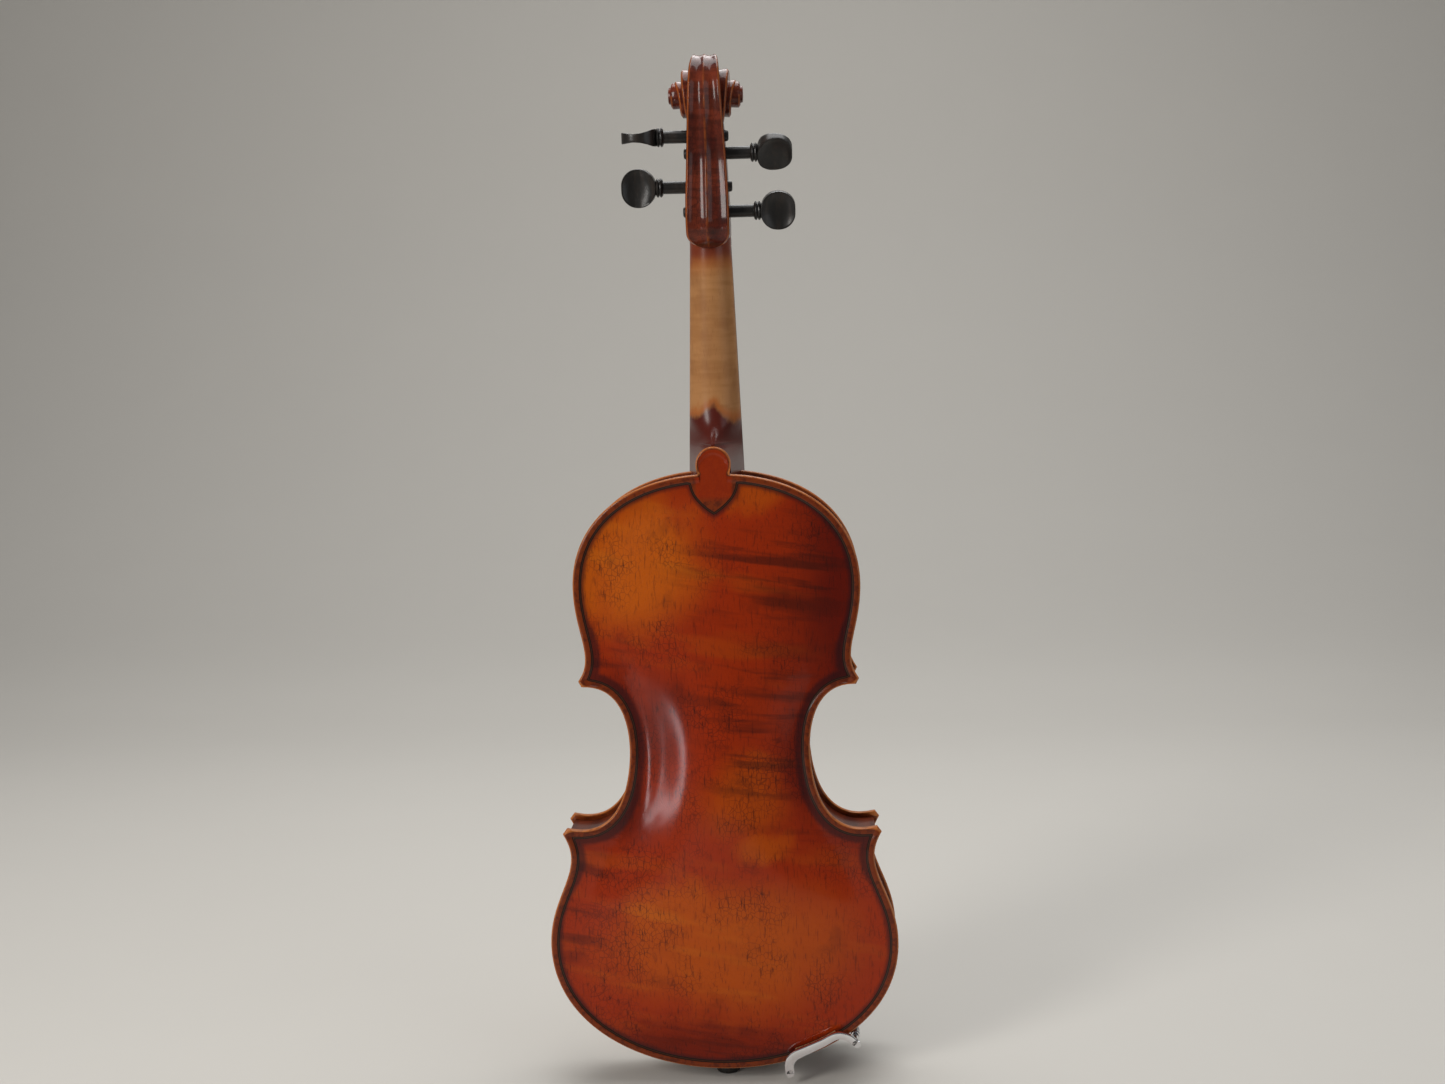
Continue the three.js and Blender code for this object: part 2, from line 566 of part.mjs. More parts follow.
function bridge() {
  const feetY = RIB_Y + outerHeight(TOP_RISE)(16, BRIDGE_Z - BODY_Z);
  const top = BRIDGE_TOP_Y;
  const face = new THREE.Shape();
  face.moveTo(9.5, feetY - 2).lineTo(21, feetY - 2).lineTo(20.5, feetY + 4);
  face.quadraticCurveTo(15, feetY + 7, 17, feetY + 13).lineTo(20, feetY + 17).lineTo(24.5, feetY + 18.5);
  face.quadraticCurveTo(25, feetY + 22, 20, top - 5.5);
  face.quadraticCurveTo(0, top + 5.4, -20, top - 5.5).quadraticCurveTo(-25, feetY + 22, -24.5, feetY + 18.5);
  face.lineTo(-20, feetY + 17).lineTo(-17, feetY + 13).quadraticCurveTo(-15, feetY + 7, -20.5, feetY + 4);
  face.lineTo(-21, feetY - 2).lineTo(-9.5, feetY - 2).lineTo(-8, feetY + 5);
  face.quadraticCurveTo(0, feetY + 12, 8, feetY + 5);
  const heart = new THREE.Path().absellipse(0, feetY + 22, 3.6, 4.2, 0, 2 * Math.PI);
  face.holes.push(heart);
  const kidney = (x) => new THREE.Path().absellipse(x, feetY + 20, 3, 2, 0, 2 * Math.PI);
  face.holes.push(kidney(13.5), kidney(-13.5));
  const geometry = new THREE.ExtrudeGeometry(face, { depth: 1, bevelEnabled: false, curveSegments: 6 });
  const at = geometry.attributes.position;
  for (let i = 0; i < at.count; i++) {
    const thickness = lookUp([[feetY - 2, 4.4], [top, 1.5]], at.getY(i));
    at.setZ(i, BRIDGE_Z + (at.getZ(i) - 0.5) * thickness);
  }
  return cut(solid(geometry), archedSolid(1, level(-5), abovePlate(TOP_RISE)));
}

function tailpiece() {
  const { topZ, bottomZ } = TAILPIECE;
  const widths = [[0, 10.5], [0.35, 12.5], [0.7, 18], [0.93, 21.5], [1, 18]];
  const rows = [0, 0.06, 0.35, 0.7, 0.93, 1].map((t) => {
    const z = mix(bottomZ, topZ, t);
    const half = lookUp(widths, t);
    const y = tailY(z);
    const over = [-1, -0.6, 0, 0.6, 1].map((f) => new THREE.Vector3(f * half, y + 2.4 * (1 - f * f) - 1.2, z));
    return [new THREE.Vector3(half, y - 3.6, z), new THREE.Vector3(-half, y - 3.6, z), ...over];
  });
  const slots = STRING_NAMES.map((name) => {
    const x = stringIndex(name) * 9.5;
    const eye = box(x - 1.7, x + 1.7, 30, 70, topZ - 17, topZ - 13.5);
    return join(eye, box(x - 0.8, x + 0.8, 30, 70, topZ - 17, topZ - 8));
  });
  const cordHoles = [-1, 1].map((side) => solid(cylinder(1.5, 14, 10).rotateX(Math.PI / 2)
    .translate(side * 5, TAILPIECE.bottomY - 1.4, bottomZ)));
  return cut(loft(rows), ...slots, ...cordHoles);
}

function tailpieceFret() {
  const z = TAILPIECE.topZ - 3;
  const y = tailY(z);
  const rows = [-10.8, -5, 0, 5, 11, 17].map((x) => [[-0.9, 0.25], [0.9, 0.25], [0.6, 1.5], [-0.6, 1.5]]
    .map(([dz, dy]) => new THREE.Vector3(x, y + dy + 1.45 - x * x * 0.0055, z + dz)));
  return loft(rows);
}

function saddle() {
  const { half, depth } = SADDLE;
  const section = (x, height) => [
    [0, RIB_Y], [0, RIB_Y + EDGE + height - 1.5], [1.2, RIB_Y + EDGE + height], [3.5, RIB_Y + EDGE + height],
    [depth, RIB_Y + EDGE], [depth, RIB_Y],
  ].map(([z, y]) => new THREE.Vector3(x, y, BODY_Z + z));
  const heights = [[-half, 0.6], [-half + 6, 4], [0, 4.6], [half - 6, 4], [half, 0.6]];
  return loft(heights.map(([x, height]) => section(x, height)));
}

function endButton() {
  const profile = [[0, 0], [6.3, 0], [7.2, 1], [7.2, 4.6], [6.4, 5.8], [4, 6.4], [4, 24], [0, 24]];
  return new THREE.LatheGeometry(profile.map(([r, h]) => new THREE.Vector2(r, h)), 24).rotateX(Math.PI / 2);
}

function tailCord() {
  const { bottomY, bottomZ } = TAILPIECE;
  const side = (sign) => [
    [sign * 5, bottomY - 1.4, bottomZ + 5], [sign * 5, bottomY - 2, bottomZ - 2], [sign * 5, 25.6, BODY_Z + 3],
    [sign * 5, 23, BODY_Z - 1.6], [sign * 5.2, 12, BODY_Z - 0.6], [sign * 5.4, 3, BODY_Z], [sign * 5.2, -2, BODY_Z],
  ];
  const turn = [[2.8, -4.8, BODY_Z], [0, -5.6, BODY_Z], [-2.8, -4.8, BODY_Z]];
  return tube([...side(1), ...turn, ...side(-1).reverse()], 1, 40, 3);
}

// ---- Fine tuner for the E string ----

const TUNER = { x: stringIndex('e') * 9.5, pivotZ: TAILPIECE.topZ - 3.5, screwZ: TAILPIECE.topZ - 19 };
const TUNER_FRAME = new THREE.Matrix4().makeRotationX(
  Math.atan2(TAILPIECE.topZ - TAILPIECE.bottomZ, TAILPIECE.topY - TAILPIECE.bottomY) - Math.PI / 2,
);
const TUNER_PIVOT = [TUNER.x, tailY(TUNER.pivotZ) + 4.6, TUNER.pivotZ];

function addFineTuner() {
  // Local axes: x across, y out of the tailpiece, z up the tailpiece, with the pivot at the origin.
  const local = (x0, x1, y0, y1, z0, z1) => new THREE.BoxGeometry(x1 - x0, y1 - y0, z1 - z0)
    .translate((x0 + x1) / 2, (y0 + y1) / 2, (z0 + z1) / 2);
  const place = (body) => geometryOf(body).applyMatrix4(TUNER_FRAME).translate(...TUNER_PIVOT);
  const rod = (r, length, sides = 10) => cylinder(r, length, sides);
  const boxes = (...list) => list.map((b) => solid(local(...b)));
  const frame = join(...boxes(
    [-2.8, 2.8, -3.1, -2.1, -20, 3], [-2.8, -1.9, -3.1, 1.5, -2, 2.4], [1.9, 2.8, -3.1, 1.5, -2, 2.4],
    [-2.8, -1.9, -3.1, 3.4, -18, -13], [1.9, 2.8, -3.1, 3.4, -18, -13], [-2.8, 2.8, 2.2, 3.4, -18, -13],
  ));
  const screwHole = solid(rod(1.35, 8).translate(0, 2, -15.5));
  const pivotHole = solid(rod(0.95, 8).rotateZ(Math.PI / 2));
  addPiece('fine_tuner_frame', 'chrome', place(cut(frame, screwHole, pivotHole)));
  addPiece('fine_tuner_pin', 'chrome', place(solid(rod(0.6, 5.8).rotateZ(Math.PI / 2))));
  const lever = join(...boxes(
    [-1.5, 1.5, -0.2, 1, -17, 1.6], [-1.5, 1.5, -1.4, 1.4, -1.5, 1.6], [-1.5, 1.5, -0.5, 3.6, -0.6, 1],
  ));
  addPiece('fine_tuner_lever', 'chrome', place(cut(lever, pivotHole)));
  const screw = join(solid(rod(1, 7).translate(0, 4.9, -15.5)), solid(rod(3.1, 3, 20).translate(0, 8.6, -15.5)));
  addPiece('fine_tuner_screw', 'chrome', place(screw));
}

// ---- Chin rest and its clamp, on the bass side ----

const CLAMP_OUT = 5.6; // the barrels' axes, outside the plates' edge
const BARREL = { radius: 2.9, half: 11, bore: 1.8, post: 1.5 };
const clampPoint = (share, out) => {
  const points = boutPoints('lower', OVERHANG + out, 60);
  const place = share * 60;
  const i = Math.floor(place);
  return [0, 1].map((k) => mix(points[i][k], points[i + 1][k], place - i));
};
const CLAMP_SHARES = { inner: 0.172, outer: 0.365 }; // along the lower bout
const BARREL_AT = Object.fromEntries(
  Object.entries(CLAMP_SHARES).map(([name, share]) => [name, clampPoint(share, CLAMP_OUT)]),
);

// A bar in the plates' plane that hooks from one barrel over the edge and back to the other.
function clampBar(y0, y1, width) {
  const route = new THREE.CatmullRomCurve3([
    BARREL_AT.inner, clampPoint(0.179, -0.5), clampPoint(0.2, -4), clampPoint(0.24, -5), clampPoint(0.29, -5.2),
    clampPoint(0.335, -4.8), clampPoint(0.358, -0.3), BARREL_AT.outer,
  ].map(([x, z]) => new THREE.Vector3(x, z, 0)));
  const steps = 20;
  const edges = [[], []];
  for (let i = 0; i <= steps; i++) {
    const p = route.getPointAt(i / steps);
    const tangent = route.getTangentAt(i / steps);
    [-1, 1].forEach((hand, k) => edges[k].push([
      p.x - hand * width / 2 * tangent.y, p.y + hand * width / 2 * tangent.x,
    ]));
  }
  return prism([...edges[0], ...edges[1].reverse()], y0, y1);
}

const alongY = (radius, y0, y1, [x, z], sides = 12) =>
  solid(cylinder(radius, y1 - y0, sides).translate(x, (y0 + y1) / 2, BODY_Z + z));

// A strip that follows the plates' edge between two shares of the lower bout.
function edgeStrip(from, to, outside, inside, y0, y1) {
  const run = (out) => [0, 0.25, 0.5, 0.75, 1].map((t) => clampPoint(mix(from, to, t), out));
  return prism([...run(outside), ...run(-inside).reverse()], y0, y1);
}

function addChinRest() {
  const edgeY = RIB_Y + EDGE;
  const cupAt = [59, 42];
  const profile = [
    [0, 0], [0.5, 0.4], [0.8, 2.6], [0.97, 6.2], [1, 8.2], [0.95, 9.2], [0.86, 7.6], [0.55, 4.6], [0, 3.6],
  ];
  const cup = new THREE.LatheGeometry(profile.map(([r, h]) => new THREE.Vector2(r, h)), 32)
    .scale(38, 1, 34).rotateZ(-0.07).translate(cupAt[0], edgeY + 16, BODY_Z + cupAt[1]);
  const foot = edgeStrip(0.2, 0.34, -0.5, 15, edgeY + 4.8, edgeY + 17.5);
  addPiece('chin_rest', 'ebony', join(solid(cup), foot));
  const onTop = archedSolid(1, level(-5), abovePlate(TOP_RISE));
  const onBack = archedSolid(-1, level(-5), abovePlate(BACK_RISE));
  addPiece('cork_top', 'cork', cut(edgeStrip(0.185, 0.355, -0.5, 14, edgeY, edgeY + 1.8), onTop));
  addPiece('cork_back', 'cork', cut(edgeStrip(0.195, 0.345, -1.5, 8, -edgeY - 2.2, -edgeY), onBack));
  const post = (from, to) => Object.values(BARREL_AT).map((at) => alongY(BARREL.post, from, to, at));
  const eyes = (y0, y1) => Object.values(BARREL_AT).map((at) => alongY(2.6, y0, y1, at));
  addPiece('clamp_bracket', 'chrome', join(
    clampBar(edgeY + 2.1, edgeY + 4.5, 4), ...eyes(edgeY + 2.1, edgeY + 4.5), ...post(5, edgeY + 3),
  ));
  addPiece('clamp_foot', 'chrome', join(
    clampBar(-edgeY - 5.2, -edgeY - 2.5, 5), ...eyes(-edgeY - 5.2, -edgeY - 2.5), ...post(-edgeY - 3, -5),
  ));
  for (const [name, at] of Object.entries(BARREL_AT)) {
    const shell = alongY(BARREL.radius, -BARREL.half, BARREL.half, at, 18);
    const bore = alongY(BARREL.bore, -BARREL.half - 1, BARREL.half + 1, at, 12);
    const keyHole = solid(cylinder(0.9, 10, 8).rotateX(Math.PI / 2).translate(at[0], 0, BODY_Z + at[1]));
    addPiece(`clamp_barrel_${name}`, 'chrome', cut(shell, bore, keyHole));
  }
}

// ---- Assembly ----

addPiece('back_plate', 'varnish', backPlate());
addPiece('top_plate', 'spruce', topPlate());
addRibsAndLinings();
addBlocks();
addBarAndPost();
addPiece('neck', 'maple', join(neckHandle(), headBody()));
addPiece('fingerboard', 'ebony', fingerboard());
addPiece('nut', 'ebony', nut());
for (const name of STRING_NAMES) {
  addPiece(`peg_${name}`, 'ebony', peg(PEGS[name]));
  addPiece(`string_${name}`, 'string', string(name));
}
addPiece('bridge', 'bridge', bridge());
addPiece('tailpiece', 'ebony', tailpiece());
addPiece('tailpiece_fret', 'ebony', tailpieceFret());
addPiece('tail_cord', 'ebony', tailCord());
addPiece('saddle', 'ebony', saddle());
addPiece('end_button', 'ebony', endButton());
addFineTuner();
addChinRest();

export default violin;
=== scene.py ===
"""A full-size violin seen from its back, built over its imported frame: varnished plates, ribs and head, ebony
fittings, strings, and a chin rest with its chrome clamp."""
import math

import bmesh
import bpy
import numpy as np
from mathutils import Matrix, Vector


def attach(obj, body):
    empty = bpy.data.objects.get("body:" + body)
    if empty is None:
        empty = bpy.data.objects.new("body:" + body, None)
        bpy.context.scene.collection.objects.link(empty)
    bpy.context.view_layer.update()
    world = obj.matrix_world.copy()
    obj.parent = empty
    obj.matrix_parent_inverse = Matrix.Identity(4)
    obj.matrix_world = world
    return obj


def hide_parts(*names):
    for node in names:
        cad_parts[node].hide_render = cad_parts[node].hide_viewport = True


bl_info = {
    "name": "Antiqued violin",
    "version": (1, 0, 0),
    "blender": (4, 5, 0),
    "location": "3D View > Sidebar > Violin",
    "description": "Builds the violin's plates, head, fittings and stage over its packed frame",
    "category": "Object",
}

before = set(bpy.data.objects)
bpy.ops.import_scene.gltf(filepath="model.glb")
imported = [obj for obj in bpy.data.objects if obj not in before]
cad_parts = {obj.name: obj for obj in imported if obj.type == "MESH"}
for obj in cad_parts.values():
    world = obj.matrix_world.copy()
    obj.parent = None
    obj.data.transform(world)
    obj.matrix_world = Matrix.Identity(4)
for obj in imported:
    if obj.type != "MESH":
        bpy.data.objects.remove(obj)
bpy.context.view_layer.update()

# ---- The violin's own dimensions, in millimetres, as its frame has them ----

MM = 0.001
BODY_Z = 8.5
BODY_LENGTH = 356.0
RIB_Y = 15.0
RIB_THICKNESS = 1.1
OVERHANG = 3.0
CORNER_OVERHANG = 1.5
EDGE = 4.0
BACK_RISE = 11.0
TOP_RISE = 11.5
BUTTON_R = 10.2
BUTTON_Z = BODY_LENGTH + 5.4
TILT = math.radians(6.7)
NUT_Z = BODY_Z + BODY_LENGTH + 130
BRIDGE_Z = BODY_Z + BODY_LENGTH - 195
BRIDGE_TOP_Y = 64.5
RIB_CURVES = {
    "lower": [((0, 3), (51.5, 3), (100, 30), (100, 77)), ((100, 77), (100, 107), (77.5, 121), (90.5, 144.5))],
    "waist": [((90.5, 144.5), (69.5, 140), (52, 153), (49.8, 191)),
              ((49.8, 191), (48.8, 218), (59, 235.5), (78.5, 235.5))],
    "upper": [((78.5, 235.5), (68.2, 251), (80.3, 265), (80.3, 291)),
              ((80.3, 291), (80.3, 327), (51, 353), (0, 353))],
}
ARCH_END = 7.5
ARCH_CURVES = [
    ((0, ARCH_END), (50, ARCH_END), (94, 33), (94, 77)), ((94, 77), (94, 114), (46.5, 130), (46.5, 191)),
    ((46.5, 191), (46.5, 237), (74.5, 242), (74.5, 291)),
               ((74.5, 291), (74.5, 323), (47.5, 348.5), (0, 348.5)),
]
SPINE = {"lower": (70, 117), "waist": (117, 255), "upper": (255, 290)}
STRINGS = ("g", "d", "a", "e")
STRING_RADII = {"g": 0.45, "d": 0.425, "a": 0.375, "e": 0.25}
# Height above the nut, depth behind the neck's surface, side (+1 is the bass side) and turn in degrees.
PEGS = {"g": (20.5, -12, 1, 8), "e": (34.5, -12, -1, 0), "d": (53, -12, 1, 35), "a": (62.5, -14, -1, 90)}
PEG_R = 3.6
HEAD_HALF = [(-6, 11.5), (4, 12.3), (20, 12.4), (30, 12.2), (55, 11), (70, 10.2), (85, 9.5), (98, 8.5),
             (108, 6.9)]
CAVITY_HALF = [(0, 8), (60, 4.6)]
EYE = (-6, 85)
CHIN_LENGTH = 9.5
NUT_SPACING, BRIDGE_SPACING, TAIL_SPACING = 5.5, 11.4, 9.5
BOARD_RADIUS = 42
EDGE_Y = RIB_Y + EDGE
PURFLING_INSET = 4.4
TAILPIECE = {"top": (51, BRIDGE_Z - 53), "bottom": (30, BODY_Z + 13)}


# ---- Numbers and curves ----

def mix(a, b, t):
    return a + (b - a) * t


def smooth(value, low, high):
    t = min(1, max(0, (value - low) / (high - low)))
    return t * t * (3 - 2 * t)


def look_up(pairs, key):
    keys, values = zip(*pairs)
    return float(np.interp(key, keys, values))


def bezier(points, steps=60):
    t = np.linspace(0, 1, steps + 1)[:, None]
    a, b, c, d = (np.array(p, float) for p in points)
    return a * (1 - t) ** 3 + 3 * b * t * (1 - t) ** 2 + 3 * c * t ** 2 * (1 - t) + d * t ** 3


def path_of(curves):
    runs = [bezier(curve) for curve in curves]
    return np.vstack([runs[0]] + [run[1:] for run in runs[1:]])


def spaced(path, shares):
    """Points and unit tangents of a path at shares of its length."""
    lengths = np.concatenate([[0], np.cumsum(np.linalg.norm(np.diff(path, axis=0), axis=1))])
    at = np.asarray(shares, float) * lengths[-1]
    pick = lambda where: np.stack([np.interp(where, lengths, path[:, k]) for k in range(path.shape[1])],
                                  axis=1)
    points = pick(at)
    step = lengths[-1] * 2e-3
    tangents = pick(np.minimum(at + step, lengths[-1])) - pick(np.maximum(at - step, 0))
    return points, tangents / np.linalg.norm(tangents, axis=1)[:, None]


def rounded(points, steps):
    """A smooth run of points through a few given ones."""
    p = np.array(points, float)
    p = np.vstack([2 * p[0] - p[1], p, 2 * p[-1] - p[-2]])
    run = []
    for i in range(1, len(p) - 2):
        for t in np.linspace(0, 1, steps, endpoint=False):
            a, b, c, d = p[i - 1], p[i], p[i + 1], p[i + 2]
            run.append(0.5 * (2 * b + (c - a) * t + (2 * a - 5 * b + 4 * c - d) * t ** 2
                              + (3 * b - a - 3 * c + d) * t ** 3))
    return np.array(run + [p[-2]])


def bout_line(bout, offset, shares):
    points, tangents = spaced(path_of(RIB_CURVES[bout]), shares)
    return points + offset * np.stack([tangents[:, 1], -tangents[:, 0]], axis=1)


def extended(points, distance):
    last = points[-1] - points[-2]
    return np.vstack([points, points[-1] + last / np.linalg.norm(last) * distance])


def crossing(first, second):
    """Two runs of points joined where they cross."""
    for i in range(len(first) - 1, 0, -1):
        for j in range(len(second) - 1):
            a, r, c, s = first[i - 1], first[i] - first[i - 1], second[j], second[j + 1] - second[j]
            across = r[0] * s[1] - r[1] * s[0]
            if abs(across) < 1e-9:
                continue
            t = ((c[0] - a[0]) * s[1] - (c[1] - a[1]) * s[0]) / across
            u = ((c[0] - a[0]) * r[1] - (c[1] - a[1]) * r[0]) / across
            if 0 <= t <= 1 and 0 <= u <= 1:
                return np.vstack([first[:i], [a + r * t], second[j + 1:]])
    return np.vstack([first, second])


def both_sides(half):
    other = half[::-1][half[::-1][:, 0] > 0.01] * [-1, 1]
    return np.vstack([half, other])


ARCH_PATH = path_of(ARCH_CURVES)


def arch_share(x, z):
    """How far up the arch a place is, from 0 at the plate's edge to 1 in its middle."""
    x, z = np.asarray(x, float), np.asarray(z, float)
    top = BODY_LENGTH - ARCH_END
    s = np.clip((z - ARCH_END) / (top - ARCH_END), 0, 1)
    ramp = lambda t: np.clip(t / 0.07, 0, 1) ** 2 * (3 - 2 * np.clip(t / 0.07, 0, 1))
    long = (1 - np.abs(2 * s - 1) ** 2.6) * ramp(s) * ramp(1 - s)
    q = np.minimum(1, np.abs(x) / np.maximum(0.5, np.interp(z, ARCH_PATH[:, 1], ARCH_PATH[:, 0])))
    return long * ((1 + np.cos(np.pi * q)) / 2) ** 0.8


def distance_to(line, x, z, closed=True):
    """Distance of places from a run of points."""
    a = line
    b = np.roll(line, -1, axis=0) if closed else line[1:]
    a = a[:len(b)]
    best = np.full(len(x), 1e9)
    for (ax, az), (bx, bz) in zip(a, b):
        dx, dz = bx - ax, bz - az
        t = np.clip(((x - ax) * dx + (z - az) * dz) / max(dx * dx + dz * dz, 1e-12), 0, 1)
        best = np.minimum(best, np.hypot(x - ax - t * dx, z - az - t * dz))
    return best


def inside(line, x, z):
    hits = np.zeros(len(x), bool)
    for (ax, az), (bx, bz) in zip(line, np.roll(line, -1, axis=0)):
        if az != bz:
            hits ^= ((az > z) != (bz > z)) & (x < (bx - ax) * (z - az) / (bz - az) + ax)
    return hits


# ---- Places on the neck and the tailpiece ----

def neck_y(z):
    return EDGE_Y + 6.5 - math.tan(TILT) * (z - BODY_Z - BODY_LENGTH)


NECK_FRAME = Matrix((
    (0, 0, 1, 0), (math.cos(TILT), -math.sin(TILT), 0, neck_y(NUT_Z) * MM),
    (math.sin(TILT), math.cos(TILT), 0, NUT_Z * MM), (0, 0, 0, 1),
))


def on_neck(x, p, s):
    """A place x across, p out of the neck's surface and s above the nut."""
    return NECK_FRAME @ (Vector((p, s, x)) * MM)


def place(x, y, z):
    return Vector((x, y, z)) * MM


def tail_y(z):
    (y1, z1), (y0, z0) = TAILPIECE["top"], TAILPIECE["bottom"]
    return mix(y0, y1, (z - z0) / (z1 - z0))


def string_offset(name):
    return 1.5 - STRINGS.index(name)


def arc_drop(x):
    return BOARD_RADIUS - math.sqrt(BOARD_RADIUS ** 2 - x ** 2)


# ---- Making pieces ----

def carry(bm, rings, closed=True, caps=True):
    """Extrudes a loop of edges through rings of places, in metres, and closes the ends."""
    loop = [bm.verts.new(p) for p in rings[0]]
    pairs = list(zip(loop, loop[1:] + loop[:1] if closed else loop[1:]))
    edges = [bm.edges.new(pair) for pair in pairs]
    first_edges = edges
    for ring in rings[1:]:
        grown = bmesh.ops.extrude_edge_only(bm, edges=edges)["geom"]
        fresh = {v for v in grown if isinstance(v, bmesh.types.BMVert)}
        edges = [e for e in grown if isinstance(e, bmesh.types.BMEdge) and set(e.verts) <= fresh]
        loop = [next(e.other_vert(v) for e in v.link_edges if e.other_vert(v) in fresh) for v in loop]
        for vert, p in zip(loop, ring):
            vert.co = p
    if caps and closed:
        bmesh.ops.edgeloop_fill(bm, edges=first_edges)
        bmesh.ops.edgeloop_fill(bm, edges=edges)


def joined(bm, shape, spot=Matrix()):
    """Adds a shape to bm, moved to its spot."""
    bmesh.ops.transform(shape, matrix=spot, verts=shape.verts)
    part = bpy.data.meshes.new("part")
    shape.to_mesh(part)
    shape.free()
    bm.from_mesh(part)
    bpy.data.meshes.remove(part)


def turned(bm, profile, steps=32, spot=Matrix()):
    """Adds a shape turned about Z from a profile of (radius, height), moved to its spot."""
    shape = bmesh.new()
    verts = [shape.verts.new((r * MM, 0, h * MM)) for r, h in profile]
    edges = [shape.edges.new(pair) for pair in zip(verts, verts[1:])]
    bmesh.ops.spin(shape, geom=verts + edges, cent=(0, 0, 0), axis=(0, 0, 1), angle=2 * math.pi, steps=steps,
                   use_merge=True)
    bmesh.ops.remove_doubles(shape, verts=shape.verts, dist=1e-7)
    joined(bm, shape, spot)


def tube(bm, points, radius, sides=10):
    """A round tube along points in millimetres, with closed ends."""
    p = [Vector(q) * MM for q in points]
    side = (p[1] - p[0]).orthogonal().normalized()
    rings = []
    for i, centre in enumerate(p):
        ahead = (p[min(i + 1, len(p) - 1)] - p[max(i - 1, 0)]).normalized()
        side = (side - ahead * side.dot(ahead)).normalized()
        over = ahead.cross(side)
        angles = [2 * math.pi * k / sides for k in range(sides)]
        rings.append([centre + (side * math.cos(a) + over * math.sin(a)) * radius * MM for a in angles])
    carry(bm, rings)


def soften(bm, width, segments, angle):
    """Rounds the sharp edges of a piece."""
    bm.normal_update()
    chosen = [e for e in bm.edges if e.is_manifold and e.calc_face_angle(0) > math.radians(angle)]
    bmesh.ops.bevel(bm, geom=chosen, offset=width * MM, offset_type="OFFSET", segments=segments, profile=0.5,
                    affect="EDGES", clamp_overlap=True, material=-1)


def mesh_of(bm, name, merge=1e-6):
    """A mesh with its doubles merged and its faces pointing out."""
    bmesh.ops.remove_doubles(bm, verts=bm.verts, dist=merge)
    bmesh.ops.dissolve_degenerate(bm, edges=bm.edges, dist=1e-7)
    bmesh.ops.recalc_face_normals(bm, faces=bm.faces)
    mesh = bpy.data.meshes.new(name)
    bm.to_mesh(mesh)
    bm.free()
    return mesh


def add_piece(name, mesh, material, body="violin", replaces=(), sharp=40):
    """Adds a finished mesh to the scene, riding on its body."""
    piece = bpy.data.objects.new(name, mesh)
    bpy.context.scene.collection.objects.link(piece)
    mesh.materials.clear()
    mesh.materials.append(material)
    mesh.shade_smooth()
    mesh.set_sharp_from_angle(angle=math.radians(sharp))
    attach(piece, body)
    if replaces:
        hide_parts(*replaces)
    return piece


def carve(mesh, cutter, name):
    """The mesh with the cutter's space taken out of it."""
    objects = [bpy.data.objects.new(n, m) for n, m in ((name, mesh), (name + "_cutter", cutter))]
    for made in objects:
        bpy.context.scene.collection.objects.link(made)
    knife = objects[0].modifiers.new("carve", "BOOLEAN")
    knife.object, knife.operation, knife.solver, knife.use_self = objects[1], "DIFFERENCE", "EXACT", True
    bpy.context.view_layer.update()
    result = bpy.data.meshes.new_from_object(objects[0].evaluated_get(bpy.context.evaluated_depsgraph_get()))
    for made in objects:
        bpy.data.objects.remove(made)
    return result


def spread(mesh, name, values):
    """Stores one number for each point of a mesh, for its material."""
    layer = mesh.attributes.get(name) or mesh.attributes.new(name, "FLOAT", "POINT")
    layer.data.foreach_set("value", np.asarray(values, np.float32))


def places_of(mesh):
    """A mesh's points in millimetres, with z from the plates' lower edge."""
    co = np.empty(len(mesh.vertices) * 3)
    mesh.vertices.foreach_get("co", co)
    return co.reshape(-1, 3) / MM - [0, 0, BODY_Z]


# ---- Plates ----

def plate_half(button):
    """The bass half of a plate's edge, with the place on the centre line that each point looks to."""
    shares = {"lower": np.linspace(0, 1, 96), "waist": np.linspace(0, 1, 66), "upper": np.linspace(0, 1, 88)}
    lines = {bout: bout_line(bout, OVERHANG, shares[bout]) for bout in shares}
    tip = lambda points: extended(points, CORNER_OVERHANG)
    lines["lower"] = tip(lines["lower"])
    lines["waist"] = tip(tip(lines["waist"])[::-1])[::-1]
    lines["upper"] = tip(lines["upper"][::-1])[::-1]
    half = []
    for bout, points in lines.items():
        for i, (x, z) in enumerate(points):
            half.append((abs(x) if abs(x) < 0.01 else x, z, mix(*SPINE[bout], i / (len(points) - 1))))
    half = np.array(half)
    half[0, 0] = half[-1, 0] = 0
    if not button:
        return half
    meets = math.asin((BODY_LENGTH - 0.4 - BUTTON_Z) / BUTTON_R)
    kept = half[(half[:, 0] > BUTTON_R * math.cos(meets) + 0.8) | (half[:, 1] < 300)]
    angles = np.linspace(meets + 0.05, math.pi / 2, 26)
    rim = [(BUTTON_R * math.cos(a), BUTTON_Z + BUTTON_R * math.sin(a),
            mix(292, BUTTON_Z, ((a - meets) / (math.pi / 2 - meets)) ** 0.6))
           for a in angles]
    rim[-1] = (0, rim[-1][1], BUTTON_Z)
    return np.vstack([kept, rim])


def purfling_line(button):
    """The line of the purfling, which dips to a point below the button."""
    lower, waist, upper = (bout_line(bout, OVERHANG - PURFLING_INSET, np.linspace(0, 1, 70))
                           for bout in RIB_CURVES)
    half = crossing(crossing(lower, waist), upper)
    if button:
        half = half[(half[:, 1] < 300) | (half[:, 0] > 14.2)]
        dip = rounded([(13.6, 350.6), (12.6, 346.5), (10.6, 342.6), (7, 338.6), (3.4, 335.6), (0, 333.4)], 4)
        half = np.vstack([half, dip])
    return both_sides(half)


